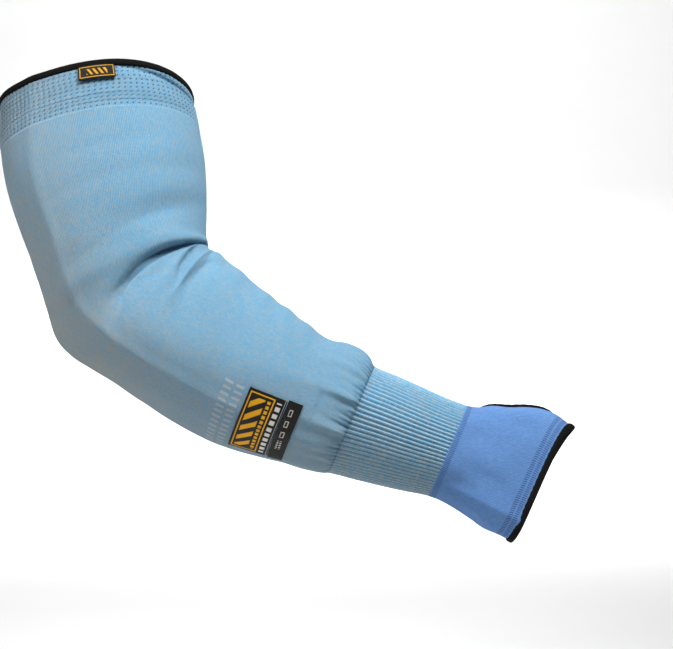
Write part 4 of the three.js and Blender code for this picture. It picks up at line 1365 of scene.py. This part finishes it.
class SLEEVE_OT_arm_tube(bpy.types.Operator):
    """Knits the tube over the upper arm, the elbow and the forearm"""

    bl_idname = "sleeve.arm_tube"
    bl_label = "Arm tube"

    def execute(self, context):
        arm_tube(context.scene.sleeve_knit)
        return {"FINISHED"}


class SLEEVE_OT_wrist_rib(bpy.types.Operator):
    """Knits the ribbed wrist"""

    bl_idname = "sleeve.wrist_rib"
    bl_label = "Wrist rib"

    def execute(self, context):
        wrist_rib(context.scene.sleeve_knit)
        return {"FINISHED"}


class SLEEVE_OT_hand_cuff(bpy.types.Operator):
    """Knits the hand's cuff with its thumb hole"""

    bl_idname = "sleeve.hand_cuff"
    bl_label = "Hand cuff"

    def execute(self, context):
        hand_cuff(context.scene.sleeve_knit)
        return {"FINISHED"}


class SLEEVE_OT_bindings(bpy.types.Operator):
    """Folds the black tapes over the raw edges"""

    bl_idname = "sleeve.bindings"
    bl_label = "Bindings"

    def execute(self, context):
        bindings(context.scene.sleeve_trims)
        return {"FINISHED"}


class SLEEVE_OT_patches(bpy.types.Operator):
    """Lays the two printed patches on the forearm"""

    bl_idname = "sleeve.patches"
    bl_label = "Patches"

    def execute(self, context):
        patches(context.scene.sleeve_prints)
        return {"FINISHED"}


class SLEEVE_OT_edge_tab(bpy.types.Operator):
    """Hangs the woven tab under the top binding"""

    bl_idname = "sleeve.edge_tab"
    bl_label = "Edge tab"

    def execute(self, context):
        edge_tab(context.scene.sleeve_prints)
        return {"FINISHED"}


class SLEEVE_OT_studio(bpy.types.Operator):
    """Sets up the pale sweep, the soft lights and the camera"""

    bl_idname = "sleeve.studio"
    bl_label = "Studio"

    def execute(self, context):
        studio(context.scene.sleeve_light)
        return {"FINISHED"}


OPERATORS = (
    SLEEVE_OT_upper_band,
    SLEEVE_OT_arm_tube,
    SLEEVE_OT_wrist_rib,
    SLEEVE_OT_hand_cuff,
    SLEEVE_OT_bindings,
    SLEEVE_OT_patches,
    SLEEVE_OT_edge_tab,
    SLEEVE_OT_studio,
)


class SLEEVE_PT_panel(bpy.types.Panel):
    """Lists the sleeve's pieces and the studio"""

    bl_idname = "SLEEVE_PT_panel"
    bl_label = "Knitted Sleeve"
    bl_space_type = "VIEW_3D"
    bl_region_type = "UI"
    bl_category = "Sleeve"

    def draw(self, context):
        for operator in OPERATORS:
            self.layout.operator(operator.bl_idname)


SETTINGS = (
    ("sleeve_knit", KnitSettings),
    ("sleeve_trims", TrimSettings),
    ("sleeve_prints", PrintSettings),
    ("sleeve_light", LightSettings),
)


def register():
    for name, group in SETTINGS:
        bpy.utils.register_class(group)
        setattr(bpy.types.Scene, name, PointerProperty(type=group))
    for each in (*OPERATORS, SLEEVE_PT_panel):
        bpy.utils.register_class(each)


def unregister():
    for each in (SLEEVE_PT_panel, *reversed(OPERATORS)):
        bpy.utils.unregister_class(each)
    for name, group in reversed(SETTINGS):
        delattr(bpy.types.Scene, name)
        bpy.utils.unregister_class(group)


def main():
    register()
    bpy.ops.sleeve.upper_band()
    bpy.ops.sleeve.arm_tube()
    bpy.ops.sleeve.wrist_rib()
    bpy.ops.sleeve.hand_cuff()
    bpy.ops.sleeve.bindings()
    bpy.ops.sleeve.patches()
    bpy.ops.sleeve.edge_tab()
    bpy.ops.sleeve.studio()
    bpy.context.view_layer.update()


if __name__ == "__main__":
    main()
